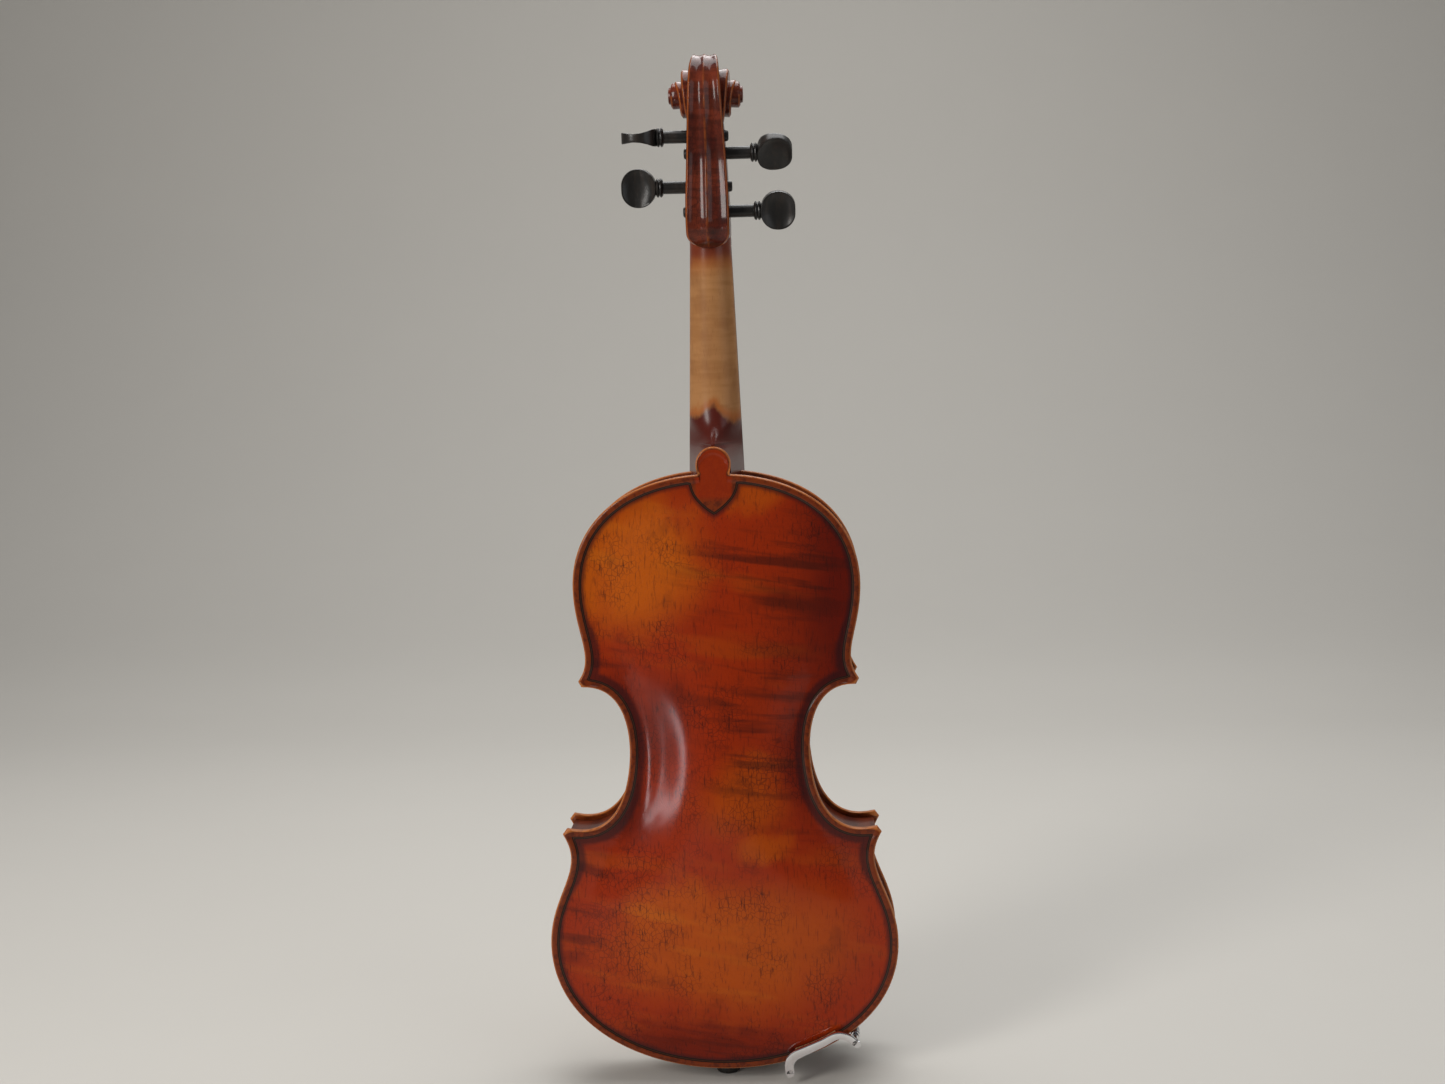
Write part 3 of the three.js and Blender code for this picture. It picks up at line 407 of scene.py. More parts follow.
EDGE_ROUND = [(0.6, 0.0), (0.16, 0.45), (0, 1.2), (0, 2.5), (0.2, 3.2), (0.6, 3.7), (1.2, 3.95), (1.9, 4.0)]
NEAR_EDGE = [2.6, 3.2, 3.8, 4.4, 5, 5.7, 6.6, 7.8, 9.4, 11.4, 14]
TO_SPINE = [0.07, 0.15, 0.24, 0.34, 0.45, 0.56, 0.67, 0.78, 0.89, 1]


def arched_plate(name, side, rise, middle, button):
    """A plate with a rounded edge, a hollow inside the purfling and an arched middle."""
    half = plate_half(button)
    around = np.vstack([half, half[-2:0:-1] * [-1, 1, 1]])
    edge, spine = around[:, :2], np.stack([np.zeros(len(around)), around[:, 2]], axis=1)
    reach = np.linalg.norm(spine - edge, axis=1)[:, None]
    inward = (spine - edge) / reach

    def ring(d, share, height):
        spots = edge + inward * np.minimum(d + (reach - d) * share, reach)
        heights = height(spots[:, 0], spots[:, 1], d + (reach[:, 0] - d) * share)
        return [place(x, side * (RIB_Y + h), BODY_Z + z) for (x, z), h in zip(spots, heights)]

    def outer(x, z, d):
        share = arch_share(x, z)
        bump = np.clip((d - 2.4) / 3.4, 0, 1)
        return EDGE - 0.85 * bump ** 2 * (3 - 2 * bump) * (1 - np.clip(share * 6, 0, 1)) + rise * share

    def inner(x, z, d):
        share = arch_share(x, z)
        return np.where(d < 9, 0, np.maximum(0, EDGE + rise * share - (3 + (middle - 3) * share)))

    rings = [ring(14, share, inner) for share in TO_SPINE[::-1]]
    rings += [ring(d, 0, inner) for d in (14, 9.2, 5)]
    rings += [ring(d, 0, lambda x, z, _, h=h: np.full(len(x), h)) for d, h in EDGE_ROUND]
    rings += [ring(d, 0, outer) for d in NEAR_EDGE]
    rings += [ring(14, share, outer) for share in TO_SPINE]
    bm = bmesh.new()
    carry(bm, rings, caps=False)
    return mesh_of(bm, name, merge=2e-5), edge


def measure_plate(mesh, edge, purfling):
    at = places_of(mesh)
    spread(mesh, "from_edge", distance_to(edge, at[:, 0], at[:, 2]))
    sign = np.where(inside(purfling, at[:, 0], at[:, 2]), 1, -1)
    spread(mesh, "from_purfling", sign * distance_to(purfling, at[:, 0], at[:, 2]))


def sound_hole_cutter(side):
    """The slot, eyes and nicks of one sound hole, as a tool to cut with."""
    line = rounded([(22.6, 194), (25.6, 197.6), (30.2, 194), (31, 184), (33, 163), (35, 142), (35.8, 130.5),
                    (39.6, 126.8), (43, 129.6)], 7)
    t = np.linspace(0, 1, 60)
    points, tangents = spaced(line, t)
    width = (0.8 + 2.1 * np.sin(np.pi * t) ** 2)[:, None] * np.stack([tangents[:, 1], -tangents[:, 0]],
                                                                     axis=1)
    slot = np.vstack([points + width, (points - width)[::-1]])
    circle = lambda x, z, r, n=28: [(x + r * math.cos(a), z + r * math.sin(a))
                                    for a in np.linspace(0, 2 * math.pi, n, False)]
    nick = lambda x, z, hand: [(x, z - 1.1), (x + hand * 3.6, z), (x, z + 1.1)]
    bm = bmesh.new()
    for outline in (slot, circle(23.5, 191.5, 3.1), circle(41.8, 133, 4.1), nick(31.6, 161, -1),
                    nick(34.4, 161, 1)):
        carry(bm, [[place(side * x, y, BODY_Z + z) for x, z in outline] for y in (RIB_Y - 6, RIB_Y + 30)])
    return mesh_of(bm, "sound_hole_cutter")


def build_plates(colours):
    back, edge = arched_plate("back", -1, BACK_RISE, 4.5, True)
    measure_plate(back, edge, purfling_line(True))
    add_piece("varnished_back", back, back_varnish(colours), replaces=["back_plate"], sharp=50)
    top, edge = arched_plate("top", 1, TOP_RISE, 3.0, False)
    for side in (1, -1):
        top = carve(top, sound_hole_cutter(side), "top")
    measure_plate(top, edge, purfling_line(False))
    add_piece("varnished_top", top, top_varnish(colours), replaces=["top_plate"], sharp=50)


def build_ribs(colours):
    """Six ribs bent round the body, each a little short of its neighbours."""
    wood = rib_varnish(colours)
    for side, side_name in ((1, "bass"), (-1, "treble")):
        for bout in RIB_CURVES:
            stations = np.linspace(0, 1, 70)
            line = path_of(RIB_CURVES[bout])
            length = np.linalg.norm(np.diff(line, axis=0), axis=1).sum()
            heights = [-RIB_Y, -7.5, 0, 7.5, RIB_Y]
            ends = {"lower": [(0.0009, 0.9995)] * 5, "waist": [(0.0005, 0.9995)] * 5}.get(bout)
            if ends is None:
                ends = [(0.0005, 1 - (mix(10, 16.3, (y + RIB_Y) / 40.5) + 0.3) / length) for y in heights]
            rings = []
            for t in stations:
                taper = min(1, 0.25 + 40 * min(t, 1 - t)) * RIB_THICKNESS
                outside = [bout_line(bout, 0, [mix(a, b, t)])[0] for a, b in ends]
                within = [bout_line(bout, -taper, [mix(a, b, t)])[0] for a, b in ends]
                loop = list(zip(outside, heights)) + list(zip(within, heights))[::-1]
                rings.append([place(side * p[0], y, BODY_Z + p[1]) for p, y in loop])
            bm = bmesh.new()
            carry(bm, rings)
            mesh = mesh_of(bm, "rib")
            at = places_of(mesh)
            near = np.argmin((at[:, 0:1] * side - line[None, :, 0]) ** 2
                             + (at[:, 2:3] - line[None, :, 1]) ** 2, axis=1)
            along = np.concatenate([[0], np.cumsum(np.linalg.norm(np.diff(line, axis=0), axis=1))])
            spread(mesh, "along", along[near] + {"lower": 0, "waist": 300, "upper": 500}[bout])
            add_piece(f"bent_rib_{bout}_{side_name}", mesh, wood,
                      replaces=[f"rib_{bout}_{side_name}"])


# ---- Neck and head ----

NECK_BACK = [(356, -15), (379.9, -15), (381.5, -11), (384, -5.6), (387, -1.4), (391.5, 2.2), (398, 4.5),
             (406, 5.2),
             (420, 4.1), (450, 1.1), (480, -2), (500, -4.2)]


def neck_handle_mesh():
    """The handle: a round-backed neck that flares into the heel."""
    back_line = rounded(NECK_BACK, 8)
    top_half = [(356, 16.3), (364.5, 16.3), (NUT_Z, 12), (510, 12)]
    shares = np.sin(np.linspace(0, 1, 15) * math.pi / 2)
    rings = []
    for z in np.concatenate([np.linspace(356, 378, 9), np.linspace(379.5, 412, 40),
                             np.linspace(415, 500, 30)]):
        top = neck_y(max(z, BODY_Z + BODY_LENGTH))
        deep = float(np.interp(z, back_line[:, 0], back_line[:, 1]))
        heel = 1 - smooth(z, 379, 397)
        back_half = math.sqrt(max(1, 100 - max(0, z - BODY_Z - BUTTON_Z) ** 2))
        wide = look_up(top_half, z)
        half = [(mix(max(0.4, wide * math.sqrt(max(0, 1 - f * f))), mix(wide, back_half, f), heel),
                 mix(top, deep, f))
                for f in shares]
        rings.append([place(x, y, z) for x, y in half + [(-x, y) for x, y in half[::-1]]])
    bm = bmesh.new()
    carry(bm, rings)
    return mesh_of(bm, "neck_handle")


# How the scroll's coil closes in, by the angle turned from its back: radius and half width.
COIL_R = [(0, 22), (45, 22.6), (90, 22.5), (135, 21.2), (180, 19.5), (225, 18.9), (270, 18.5), (315, 17.2),
          (360, 15.6), (450, 14.3), (540, 13.6), (630, 12.4), (700, 10.2), (780, 8.2), (860, 7.7), (990, 7.3),
          (1080, 7.1)]
COIL_HALF = [(0, 9.5), (40, 8.6), (90, 6.9), (150, 7), (200, 7.6), (270, 9.2), (330, 11.6), (380, 13),
             (450, 13.6),
             (560, 13.8), (640, 14.2), (700, 14.8), (780, 17.2), (860, 18.8), (1000, 19.6), (1080, 19.8)]


def head_section(outer, inner, half, cavity, depth, flute):
    """One loop of the head: flutes and a ridge behind, cheeks at the sides, the pegbox's hollow in front."""
    outer, inner = Vector(outer), Vector(inner)
    out = outer - inner
    reach = out.length
    out = out / reach
    crest = half - 1.3
    backs = [(0, 0.2), (0.05, 0), (0.14, -0.55), (0.3, -1.35), (0.46, -1.7), (0.62, -1.6), (0.8, -1.0),
             (0.93, -0.3), (1, 0)]
    points = [(x * crest, reach + y * flute) for x, y in backs]
    points += [(crest + 0.35, reach - 0.05), (half - 0.35, reach - 0.85), (half, reach - 1.3),
               (half, reach - 1.9)]
    hollow = 0.55 * flute
    points += [(half - hollow * math.sin(math.pi * t) ** 0.5, mix(reach - 2.6, min(1.6, reach / 3), t))
               for t in (0.12, 0.3, 0.5, 0.7, 0.88)]
    rim = min(0.5, reach / 6)
    points += [(half, rim + 0.5), (half - 0.1, rim), (half - 0.6, 0), (mix(cavity, half, 0.5), 0),
               (cavity + 0.4, 0),
               (cavity, 0.4), (cavity, mix(0.4, depth, 0.5)), (cavity, max(0.45, depth - 2)),
               (cavity - 0.6, max(0.5, depth - 0.6)),
               (cavity - 2, max(0.5, depth)), (0, max(0.5, depth))]
    points += [(-x, y) for x, y in points[1:-1]][::-1]
    return [on_neck(x, *(inner + out * y)) for x, y in points]


# Points of a head_section loop, counted from its middle, that lie on the chamfer and on the ridge.
CHAMFER_POINTS = (9, 10)
RIDGE_POINTS = (0, 1)


def head_mesh():
    """The pegbox and the scroll's coil, carried round from the chin to the eye."""
    back = path_of([((-13.5, 0), (-22, 1), (-28.5, 7), (-28.5, 17)),
                    ((-28.5, 17), (-28.5, 27), (-24.5, 36), (-24.5, 50)),
                    ((-24.5, 50), (-24.5, 60), (-28, 72), (-28, 85))])
    front_of = [(0, 0), (8, -0.5), (20, -1.1), (55, -3), (66.5, -8)]
    floor_of = [(8, -16), (12, -20.5), (18, -22.6), (26, -21.5), (38, -19), (48, -18.5), (58, -16)]
    stations = []
    for u in np.linspace(0, 0.82, 46):
        point, _ = spaced(back, [u])
        height = look_up([(0, 0), (0.06, 1.2), (0.3, 11), (0.82, 66.5)], u)
        front = (look_up(front_of, height), height)
        depth = max(0, front[0] - look_up(floor_of, height)) * smooth(height, 7.4, 8.6)
        depth *= 1 - smooth(height, 58, 63)
        flute = smooth(u, 0.02, 0.2) * smooth(u, -0.05, 0.1)
        half = look_up(HEAD_HALF, max(point[0][1], height * 0.6))
        half *= math.sqrt(1 - 0.97 * (1 - min(1, max(0, point[0][1] / CHIN_LENGTH))) ** 2)
        stations.append((point[0], front, half, look_up(CAVITY_HALF, height), depth, flute))
    for u in np.linspace(0.84, 0.99, 7):
        point, _ = spaced(back, [u])
        t = (u - 0.82) / 0.18
        angle = math.radians(mix(262, 180, t))
        radius = mix(18.5, 14, t)
        front = (EYE[0] + radius * math.cos(angle), EYE[1] + radius * math.sin(angle))
        stations.append((point[0], front, look_up(HEAD_HALF, point[0][1]), 4, 0, 1))
    for turn in np.arange(0, 1081, 12):
        direction = np.array([-math.cos(math.radians(turn)), math.sin(math.radians(turn))])
        radius = float(np.interp(turn, *zip(*COIL_R)))
        within = max(0.4, float(np.interp(turn + 360, *zip(*COIL_R))) - 1.5) if turn <= 720 else 0.4
        half = float(np.interp(turn, *zip(*COIL_HALF)))
        flute = 1 - smooth(turn, 300, 420)
        shallow = 1 - 0.55 * smooth(turn, 25, 80)
        stations.append((np.array(EYE) + direction * radius, np.array(EYE) + direction * within, half, 3, 0,
                         mix(0.25, shallow, flute)))
    rings = [head_section(*station) for station in stations]
    bm = bmesh.new()
    carry(bm, rings)
    count = len(rings[0])
    mesh = mesh_of(bm, "head", merge=1e-7)
    corners = {k: [] for k in ("chamfer", "ridge")}
    for ring in rings:
        for i in range(count):
            mirrored = min(i, count - i)
            corners["chamfer"].append(1.0 if mirrored in CHAMFER_POINTS else 0.0)
            corners["ridge"].append(1.0 if mirrored in RIDGE_POINTS else 0.0)
    flat = np.array([tuple(p) for ring in rings for p in ring])
    co = np.empty(len(mesh.vertices) * 3)
    mesh.vertices.foreach_get("co", co)
    co = co.reshape(-1, 3)
    nearest = [int(np.argmin(((flat - c) ** 2).sum(axis=1))) for c in co]
    for name, values in corners.items():
        spread(mesh, name, np.array(values)[nearest])
    return mesh


def eye_mesh():
    """The raised button at the middle of each volute."""
    bm = bmesh.new()
    for lean in (0, math.pi):
        spot = NECK_FRAME @ Matrix.Translation(Vector((*EYE, 0)) * MM) @ Matrix.Rotation(lean, 4, "Y")
        turned(bm, [(0, 14), (7.1, 14), (7.1, 18.6), (6.6, 19.2), (4.9, 19.6), (4.6, 20.2), (4.4, 20.8),
                    (3.8, 21.1),
                    (0, 21.15)], 36, spot)
    return mesh_of(bm, "scroll_eye")


def build_neck(colours):
    add_piece("neck_handle", neck_handle_mesh(), neck_wood(colours), replaces=["neck"])
    varnish = head_varnish(colours)
    add_piece("scroll_head", head_mesh(), varnish, replaces=["neck"], sharp=50)
    eyes = eye_mesh()
    spread(eyes, "chamfer", np.zeros(len(eyes.vertices)))
    add_piece("scroll_eyes", eyes, varnish, replaces=["neck"])


# ---- Ebony on the neck: fingerboard and nut ----

def build_fingerboard(colours):
    ebony = ebony_finish(colours, "fingerboard_ebony", 0.30)

    def section(s, lift=0.0, shrink=0.0):
        half = mix(24, 42, -s / 270) / 2 - shrink
        over = [(f * half, 5 - lift + math.sqrt(42 ** 2 - (f * half) ** 2) - math.sqrt(42 ** 2 - half ** 2))
                for f in np.linspace(-1, 1, 23)]
        under = [(half, 0.3), (half * 0.5, 0.3), (-half * 0.5, 0.3), (-half, 0.3)] if s > -122 else \
            [(half, 0.3), (half * 0.5, 2.4), (-half * 0.5, 2.4), (-half, 0.3)]
        return [on_neck(x, p, s) for x, p in under + over]

    bm = bmesh.new()
    carry(bm, [section(0), section(-40), section(-80), section(-120), section(-124), section(-180),
               section(-240),
               section(-269.2), section(-270, 0.3, 0.3)])
    soften(bm, 0.45, 3, 50)
    add_piece("playing_board", mesh_of(bm, "fingerboard"), ebony, replaces=["fingerboard"])

    bm = bmesh.new()
    xs = np.linspace(-12, 12, 25)
    groove = lambda x: 0.35 * max(0, 1 - min(abs(x - string_offset(n) * NUT_SPACING) for n in STRINGS) / 0.7)
    ring = lambda s, top: [on_neck(12, 0.3, s), on_neck(-12, 0.3, s)] + \
        [on_neck(x, top - arc_drop(x) - groove(x), s) for x in xs]
    carry(bm, [ring(0.3, 7.3), ring(0.5, 7.55), ring(1.4, 7.6), ring(2.6, 7.5), ring(4, 6.4), ring(5.1, 4.4),
               ring(5.5, 3.6)])
    add_piece("string_nut", mesh_of(bm, "nut"), ebony, replaces=["nut"])


# ---- Pegs ----

def peg_mesh(name):
    """A tapered shaft with two turned collars and a dished, heart-shaped thumb piece."""
    s, p, side, turn = PEGS[name]
    wall = look_up(HEAD_HALF, s)
    bm = bmesh.new()
    turned(bm, [(0, -wall - 2), (2.2, -wall - 2), (2.9, -wall - 1.5), (3.25, -wall), (3.6, wall),
                (3.55, wall + 13.4),
                (4.4, wall + 13.7), (5.2, wall + 14.2), (5.4, wall + 14.7), (5.2, wall + 15.2),
                (4.4, wall + 15.5),
                (4.4, wall + 15.8), (5.2, wall + 16.1), (5.4, wall + 16.6), (5.1, wall + 17.1),
                (4, wall + 17.7),
                (3.3, wall + 18.6), (3, wall + 19.6), (2.4, wall + 20.6), (0, wall + 21)], 40)
    outline = rounded([(0, 17.4), (3.6, 17.8), (7.4, 19.9), (10.1, 23.4), (10.9, 27.6), (10.1, 31.8),
                       (7.4, 35.2),
                       (3.8, 37), (0, 37.3)], 5)
    loop = np.vstack([outline, outline[-2:0:-1] * [-1, 1]])
    middle = np.array([0, 27.6])
    shapes = [(0.04, 1.35), (0.3, 1.4), (0.55, 1.75), (0.75, 2.35), (0.88, 2.95), (0.95, 3.3), (0.985, 3.2),
              (1, 2.6),
              (1, 1.2), (1, 0)]
    shapes = [(k, -h) for k, h in shapes] + [(k, h) for k, h in shapes[-2::-1]]
    swelling = [(17.4, 1.5), (19.5, 1.42), (22, 1.1), (26, 0.8), (30, 0.7), (33, 0.76), (37.3, 1.0)]
    thin = lambda z: look_up(swelling, z)
    rings = []
    for k, h in shapes:
        spots = middle + (loop - middle) * k
        rings.append([place(h * thin(z), y, wall + z) for y, z in spots])
    carry(bm, rings)
    spot = NECK_FRAME @ Matrix.Translation(Vector((p, s, 0)) * MM)
    if side < 0:
        spot = spot @ Matrix.Rotation(math.pi, 4, "X")
    bmesh.ops.transform(bm, matrix=spot @ Matrix.Rotation(math.radians(turn), 4, "Z"), verts=bm.verts)
    return mesh_of(bm, "peg_" + name)


def winding_mesh(name):
    """The turns of string on a peg."""
    s, p, side, _ = PEGS[name]
    reach = look_up(CAVITY_HALF, s) - 1.6
    radius = STRING_RADII[name]
    turns = 4
    points = []
    for i in range(turns * 18 + 1):
        a = 2 * math.pi * i / 18
        x = side * (reach - i / 18 * 2.15 * radius)
        around = PEG_R + radius + 0.05
        spot = on_neck(x, p + around * math.cos(a), s + around * math.sin(a) * side)
        points.append(spot / MM)
    bm = bmesh.new()
    tube(bm, points, radius, 8)
    return mesh_of(bm, "winding_" + name)


def build_pegs(colours):
    ebony = ebony_finish(colours, "peg_ebony", 0.32)
    steel = string_finish(colours)
    for name in STRINGS:
        add_piece("tuning_peg_" + name, peg_mesh(name), ebony, body="peg_" + name,
                  replaces=["peg_" + name])
        add_piece("string_turns_" + name, winding_mesh(name), steel, body="peg_" + name)


# ---- Strings, bridge and tailpiece ----

def bridge_string(name):
    x = string_offset(name) * BRIDGE_SPACING
    return x, BRIDGE_TOP_Y - arc_drop(x) + x * 0.03


def string_route(name):
    radius = STRING_RADII[name]
    x, y = bridge_string(name)
    nut_x = string_offset(name) * NUT_SPACING
    s, p, side, _ = PEGS[name]
    lift = radius + 0.3
    over = lambda at, top: on_neck(nut_x, top - arc_drop(nut_x) + lift, at) / MM
    end = on_neck(side * (look_up(CAVITY_HALF, s) - 1.6), p + PEG_R + 1.4, s - 0.6) / MM
    fret = TAILPIECE["top"][1] - 3
    tail_x = string_offset(name) * TAIL_SPACING
    low = (tail_x, tail_y(fret) + 7, fret + 2) if name == "e" else (tail_x, tail_y(fret) + 3.1, fret)
    return [low, (x, y + lift, BRIDGE_Z), over(1, 7.6), over(3, 7.4), end]


def build_strings(colours):
    steel = string_finish(colours)
    thread = thread_finish(colours)
    for name in STRINGS:
        bm = bmesh.new()
        route = [Vector(p) for p in string_route(name)]
        points = []
        for a, b in zip(route, route[1:]):
            points += [a.lerp(b, t) for t in ((0, 0.02, 0.98) if (b - a).length > 60 else (0, 0.15, 0.85))]
        tube(bm, points + [route[-1]], STRING_RADII[name], 10)
        add_piece("tuned_string_" + name, mesh_of(bm, "string"), steel,
                  replaces=["string_" + name])
        bm = bmesh.new()
        low, high = route[0], route[1]
        along = (high - low).normalized()
        tube(bm, [low + along * d for d in np.linspace(1.5, 15, 8)], STRING_RADII[name] + 0.12, 10)
        add_piece("silk_wrap_" + name, mesh_of(bm, "silk"), thread)


def flat_piece(name, outlines, thickness, bevel):
    """A flat sheet with holes, as a mesh in its own X, Y and Z."""
    curve = bpy.data.curves.new(name, "CURVE")
    curve.dimensions, curve.fill_mode = "2D", "BOTH"
    curve.extrude, curve.bevel_depth, curve.bevel_resolution = (thickness / 2 - bevel) * MM, bevel * MM, 1
    for outline in outlines:
        spline = curve.splines.new("POLY")
        spline.points.add(len(outline) - 1)
        for point, (x, y) in zip(spline.points, outline):
            point.co = (x * MM, y * MM, 0, 1)
        spline.use_cyclic_u = True
    drawn = bpy.data.objects.new(name, curve)
    bpy.context.scene.collection.objects.link(drawn)
    bpy.context.view_layer.update()
    mesh = bpy.data.meshes.new_from_object(drawn.evaluated_get(bpy.context.evaluated_depsgraph_get()))
    bpy.data.objects.remove(drawn)
    bm = bmesh.new()
    bm.from_mesh(mesh)
    return bm


def build_bridge(colours):
    foot = EDGE_Y + TOP_RISE * float(arch_share(16, BRIDGE_Z - BODY_Z))
    top = BRIDGE_TOP_Y
    arch = lambda x: EDGE_Y + 0.3 + TOP_RISE * float(arch_share(x, BRIDGE_Z - BODY_Z))
    crown = [(x, top - 0.2 - arc_drop(x) + x * 0.03) for x in np.linspace(20.4, -20.4, 41)]
    right = rounded([(21, arch(21)), (20.6, foot + 2.4), (18, foot + 4.4), (15.6, foot + 7),
                     (15.8, foot + 10.4), (18.4, foot + 13),
                     (22.4, foot + 13.6), (24.6, foot + 15.4), (24.4, foot + 18), (22.2, foot + 20.4),
                     (21.2, top - 9)], 5)
    arch_run = rounded([(-9.5, arch(9.5)), (-9, foot + 3), (-6.6, foot + 6.6), (0, foot + 9),
                        (6.6, foot + 6.6), (9, foot + 3),
                        (9.5, arch(9.5))], 6)
    soles = [(x, arch(x)) for x in np.linspace(9.5, 21, 8)]
    outline = list(arch_run) + soles[1:-1] + list(right) + crown + [(-x, y) for x, y in right[::-1]] + \
        [(-x, y) for x, y in soles[-2:0:-1]]
    heart = rounded([(0, foot + 16.4), (3, foot + 18), (4.4, foot + 21), (3.2, foot + 23.6), (1.2, foot + 24),
                     (0.8, foot + 22),
                     (0, foot + 21.2)], 5)
    heart = list(heart) + [(-x, y) for x, y in heart[-2:0:-1]]
    kidney = rounded([(11, foot + 17.6), (13.6, foot + 16.4), (16.8, foot + 17), (17.6, foot + 18.8),
                      (15, foot + 19),
                      (12.6, foot + 20.2), (10.8, foot + 19.6), (11, foot + 17.6)], 4)[:-1]
    other = [(-x, y) for x, y in kidney[::-1]]
    bm = flat_piece("bridge", [outline, heart, kidney, other], 4.4, 0.25)
    for vert in bm.verts:
        x, y, z = vert.co / MM
        thin = mix(1, 0.36, smooth(y, foot, top) ** 0.8)
        vert.co = place(x, y, BRIDGE_Z + z * thin)
    mesh = mesh_of(bm, "bridge")
    add_piece("string_bridge", mesh, bridge_finish(colours), replaces=["bridge"], sharp=35)


def build_tailpiece(colours):
    ebony = ebony_finish(colours, "tailpiece_ebony", 0.26)
    (_, top_z), (low_y, low_z) = TAILPIECE["top"], TAILPIECE["bottom"]
    widths = rounded([(0, 9.4), (0.02, 10.3), (0.3, 12), (0.6, 15.6), (0.85, 20.2), (0.95, 21.4), (0.985, 20),
                      (1, 17.5)], 5)
    rings = []
    for t in [0, 0.008, 0.03] + list(np.linspace(0.06, 0.9, 22)) + [0.93, 0.95, 0.965, 0.98, 0.99, 0.997, 1]:
        half = float(np.interp(t, widths[:, 0], widths[:, 1]))
        z = mix(low_z, top_z, t)
        squash = min(1, 0.55 + 30 * min(t, 1 - t))
        over = [place(f * half, tail_y(z) - 1.2 + 2.4 * (1 - abs(f) ** 2.4) * squash, z)
                for f in np.linspace(-1, 1, 21)]
        under = [place(f * half, tail_y(z) - 3.5 + 0.9 * f * f, z) for f in np.linspace(0.96, -0.96, 7)]
        rings.append(under + over)
    bm = bmesh.new()
    carry(bm, rings)
    mesh = mesh_of(bm, "tailpiece")
    bm = bmesh.new()
    for name in STRINGS:
        x = string_offset(name) * TAIL_SPACING
        width, eye = 0.75, 1.7
        shape = [(x + width, top_z - 8)] + [(x + width, top_z - 13.5)] + \
            [(x + eye * math.sin(a), top_z - 15.2 + eye * math.cos(a))
             for a in np.linspace(0.46, 2 * math.pi - 0.46, 18)] + \
            [(x - width, top_z - 13.5), (x - width, top_z - 8)]
        carry(bm, [[place(px, y, pz) for px, pz in shape] for y in (30, 70)])
    mesh = carve(mesh, mesh_of(bm, "slots"), "tailpiece")
    add_piece("string_tailpiece", mesh, ebony, replaces=["tailpiece"])

    z = top_z - 3
    bm = bmesh.new()
    profile = [(-0.9, 0.1), (0.9, 0.1), (0.85, 0.9), (0.5, 1.4), (0, 1.55), (-0.5, 1.4), (-0.85, 0.9)]
    carry(bm, [[place(x, tail_y(z) + dy * k + 1.4 - x * x * 0.0055, z + dz * k) for dz, dy in profile]
               for x, k in [(-10.8, 0.7), (-10.2, 1)] + [(x, 1) for x in np.linspace(-8, 15, 14)]
               + [(16.4, 1), (17, 0.7)]])
    add_piece("tailpiece_ridge", mesh_of(bm, "ridge"), ebony, replaces=["tailpiece_fret"])

    side = lambda hand: [(hand * 5, low_y - 1.4, low_z + 5), (hand * 5, low_y - 2, low_z - 2),
                         (hand * 5, 25.6, BODY_Z + 3),
                         (hand * 5, 23, BODY_Z - 1.6), (hand * 5.2, 12, BODY_Z - 0.6),
                         (hand * 5.4, 3, BODY_Z),
                         (hand * 5.2, -2, BODY_Z)]
    route = rounded(side(1) + [(2.8, -4.8, BODY_Z), (0, -5.6, BODY_Z), (-2.8, -4.8, BODY_Z)] + side(-1)[::-1],
                    6)
    bm = bmesh.new()
    tube(bm, route, 0.95, 10)
    add_piece("tail_gut", mesh_of(bm, "tail_gut"), cord_finish(colours), replaces=["tail_cord"])

    bm = bmesh.new()
    half = 17
    rows = []
    for x in np.linspace(-half, half, 35):
        swell = 0.6 + 4.0 * (1 - smooth(abs(x), 9, 17))
        rows.append([place(x, y, BODY_Z + z) for z, y in [
            (0, RIB_Y), (0, EDGE_Y + swell - 1.8), (0.3, EDGE_Y + swell - 0.7), (1.2, EDGE_Y + swell),
            (2.6, EDGE_Y + swell), (3.8, EDGE_Y + swell * 0.9), (5.6, EDGE_Y + swell * 0.4),
            (7, EDGE_Y), (7, RIB_Y)]])
    carry(bm, rows)
    add_piece("end_saddle", mesh_of(bm, "saddle"), ebony, replaces=["saddle"])

    bm = bmesh.new()
    turned(bm, [(0, 0), (5.6, 0), (6.6, 0.25), (7.1, 0.9), (7.2, 1.7), (7.2, 3.9), (6.9, 4.9), (6.2, 5.7),
                (5, 6.1), (4.4, 6.6),
                (4, 7.6), (4, 24), (0, 24)], 48)
    add_piece("end_pin", mesh_of(bm, "end_pin"), ebony, replaces=["end_button"])


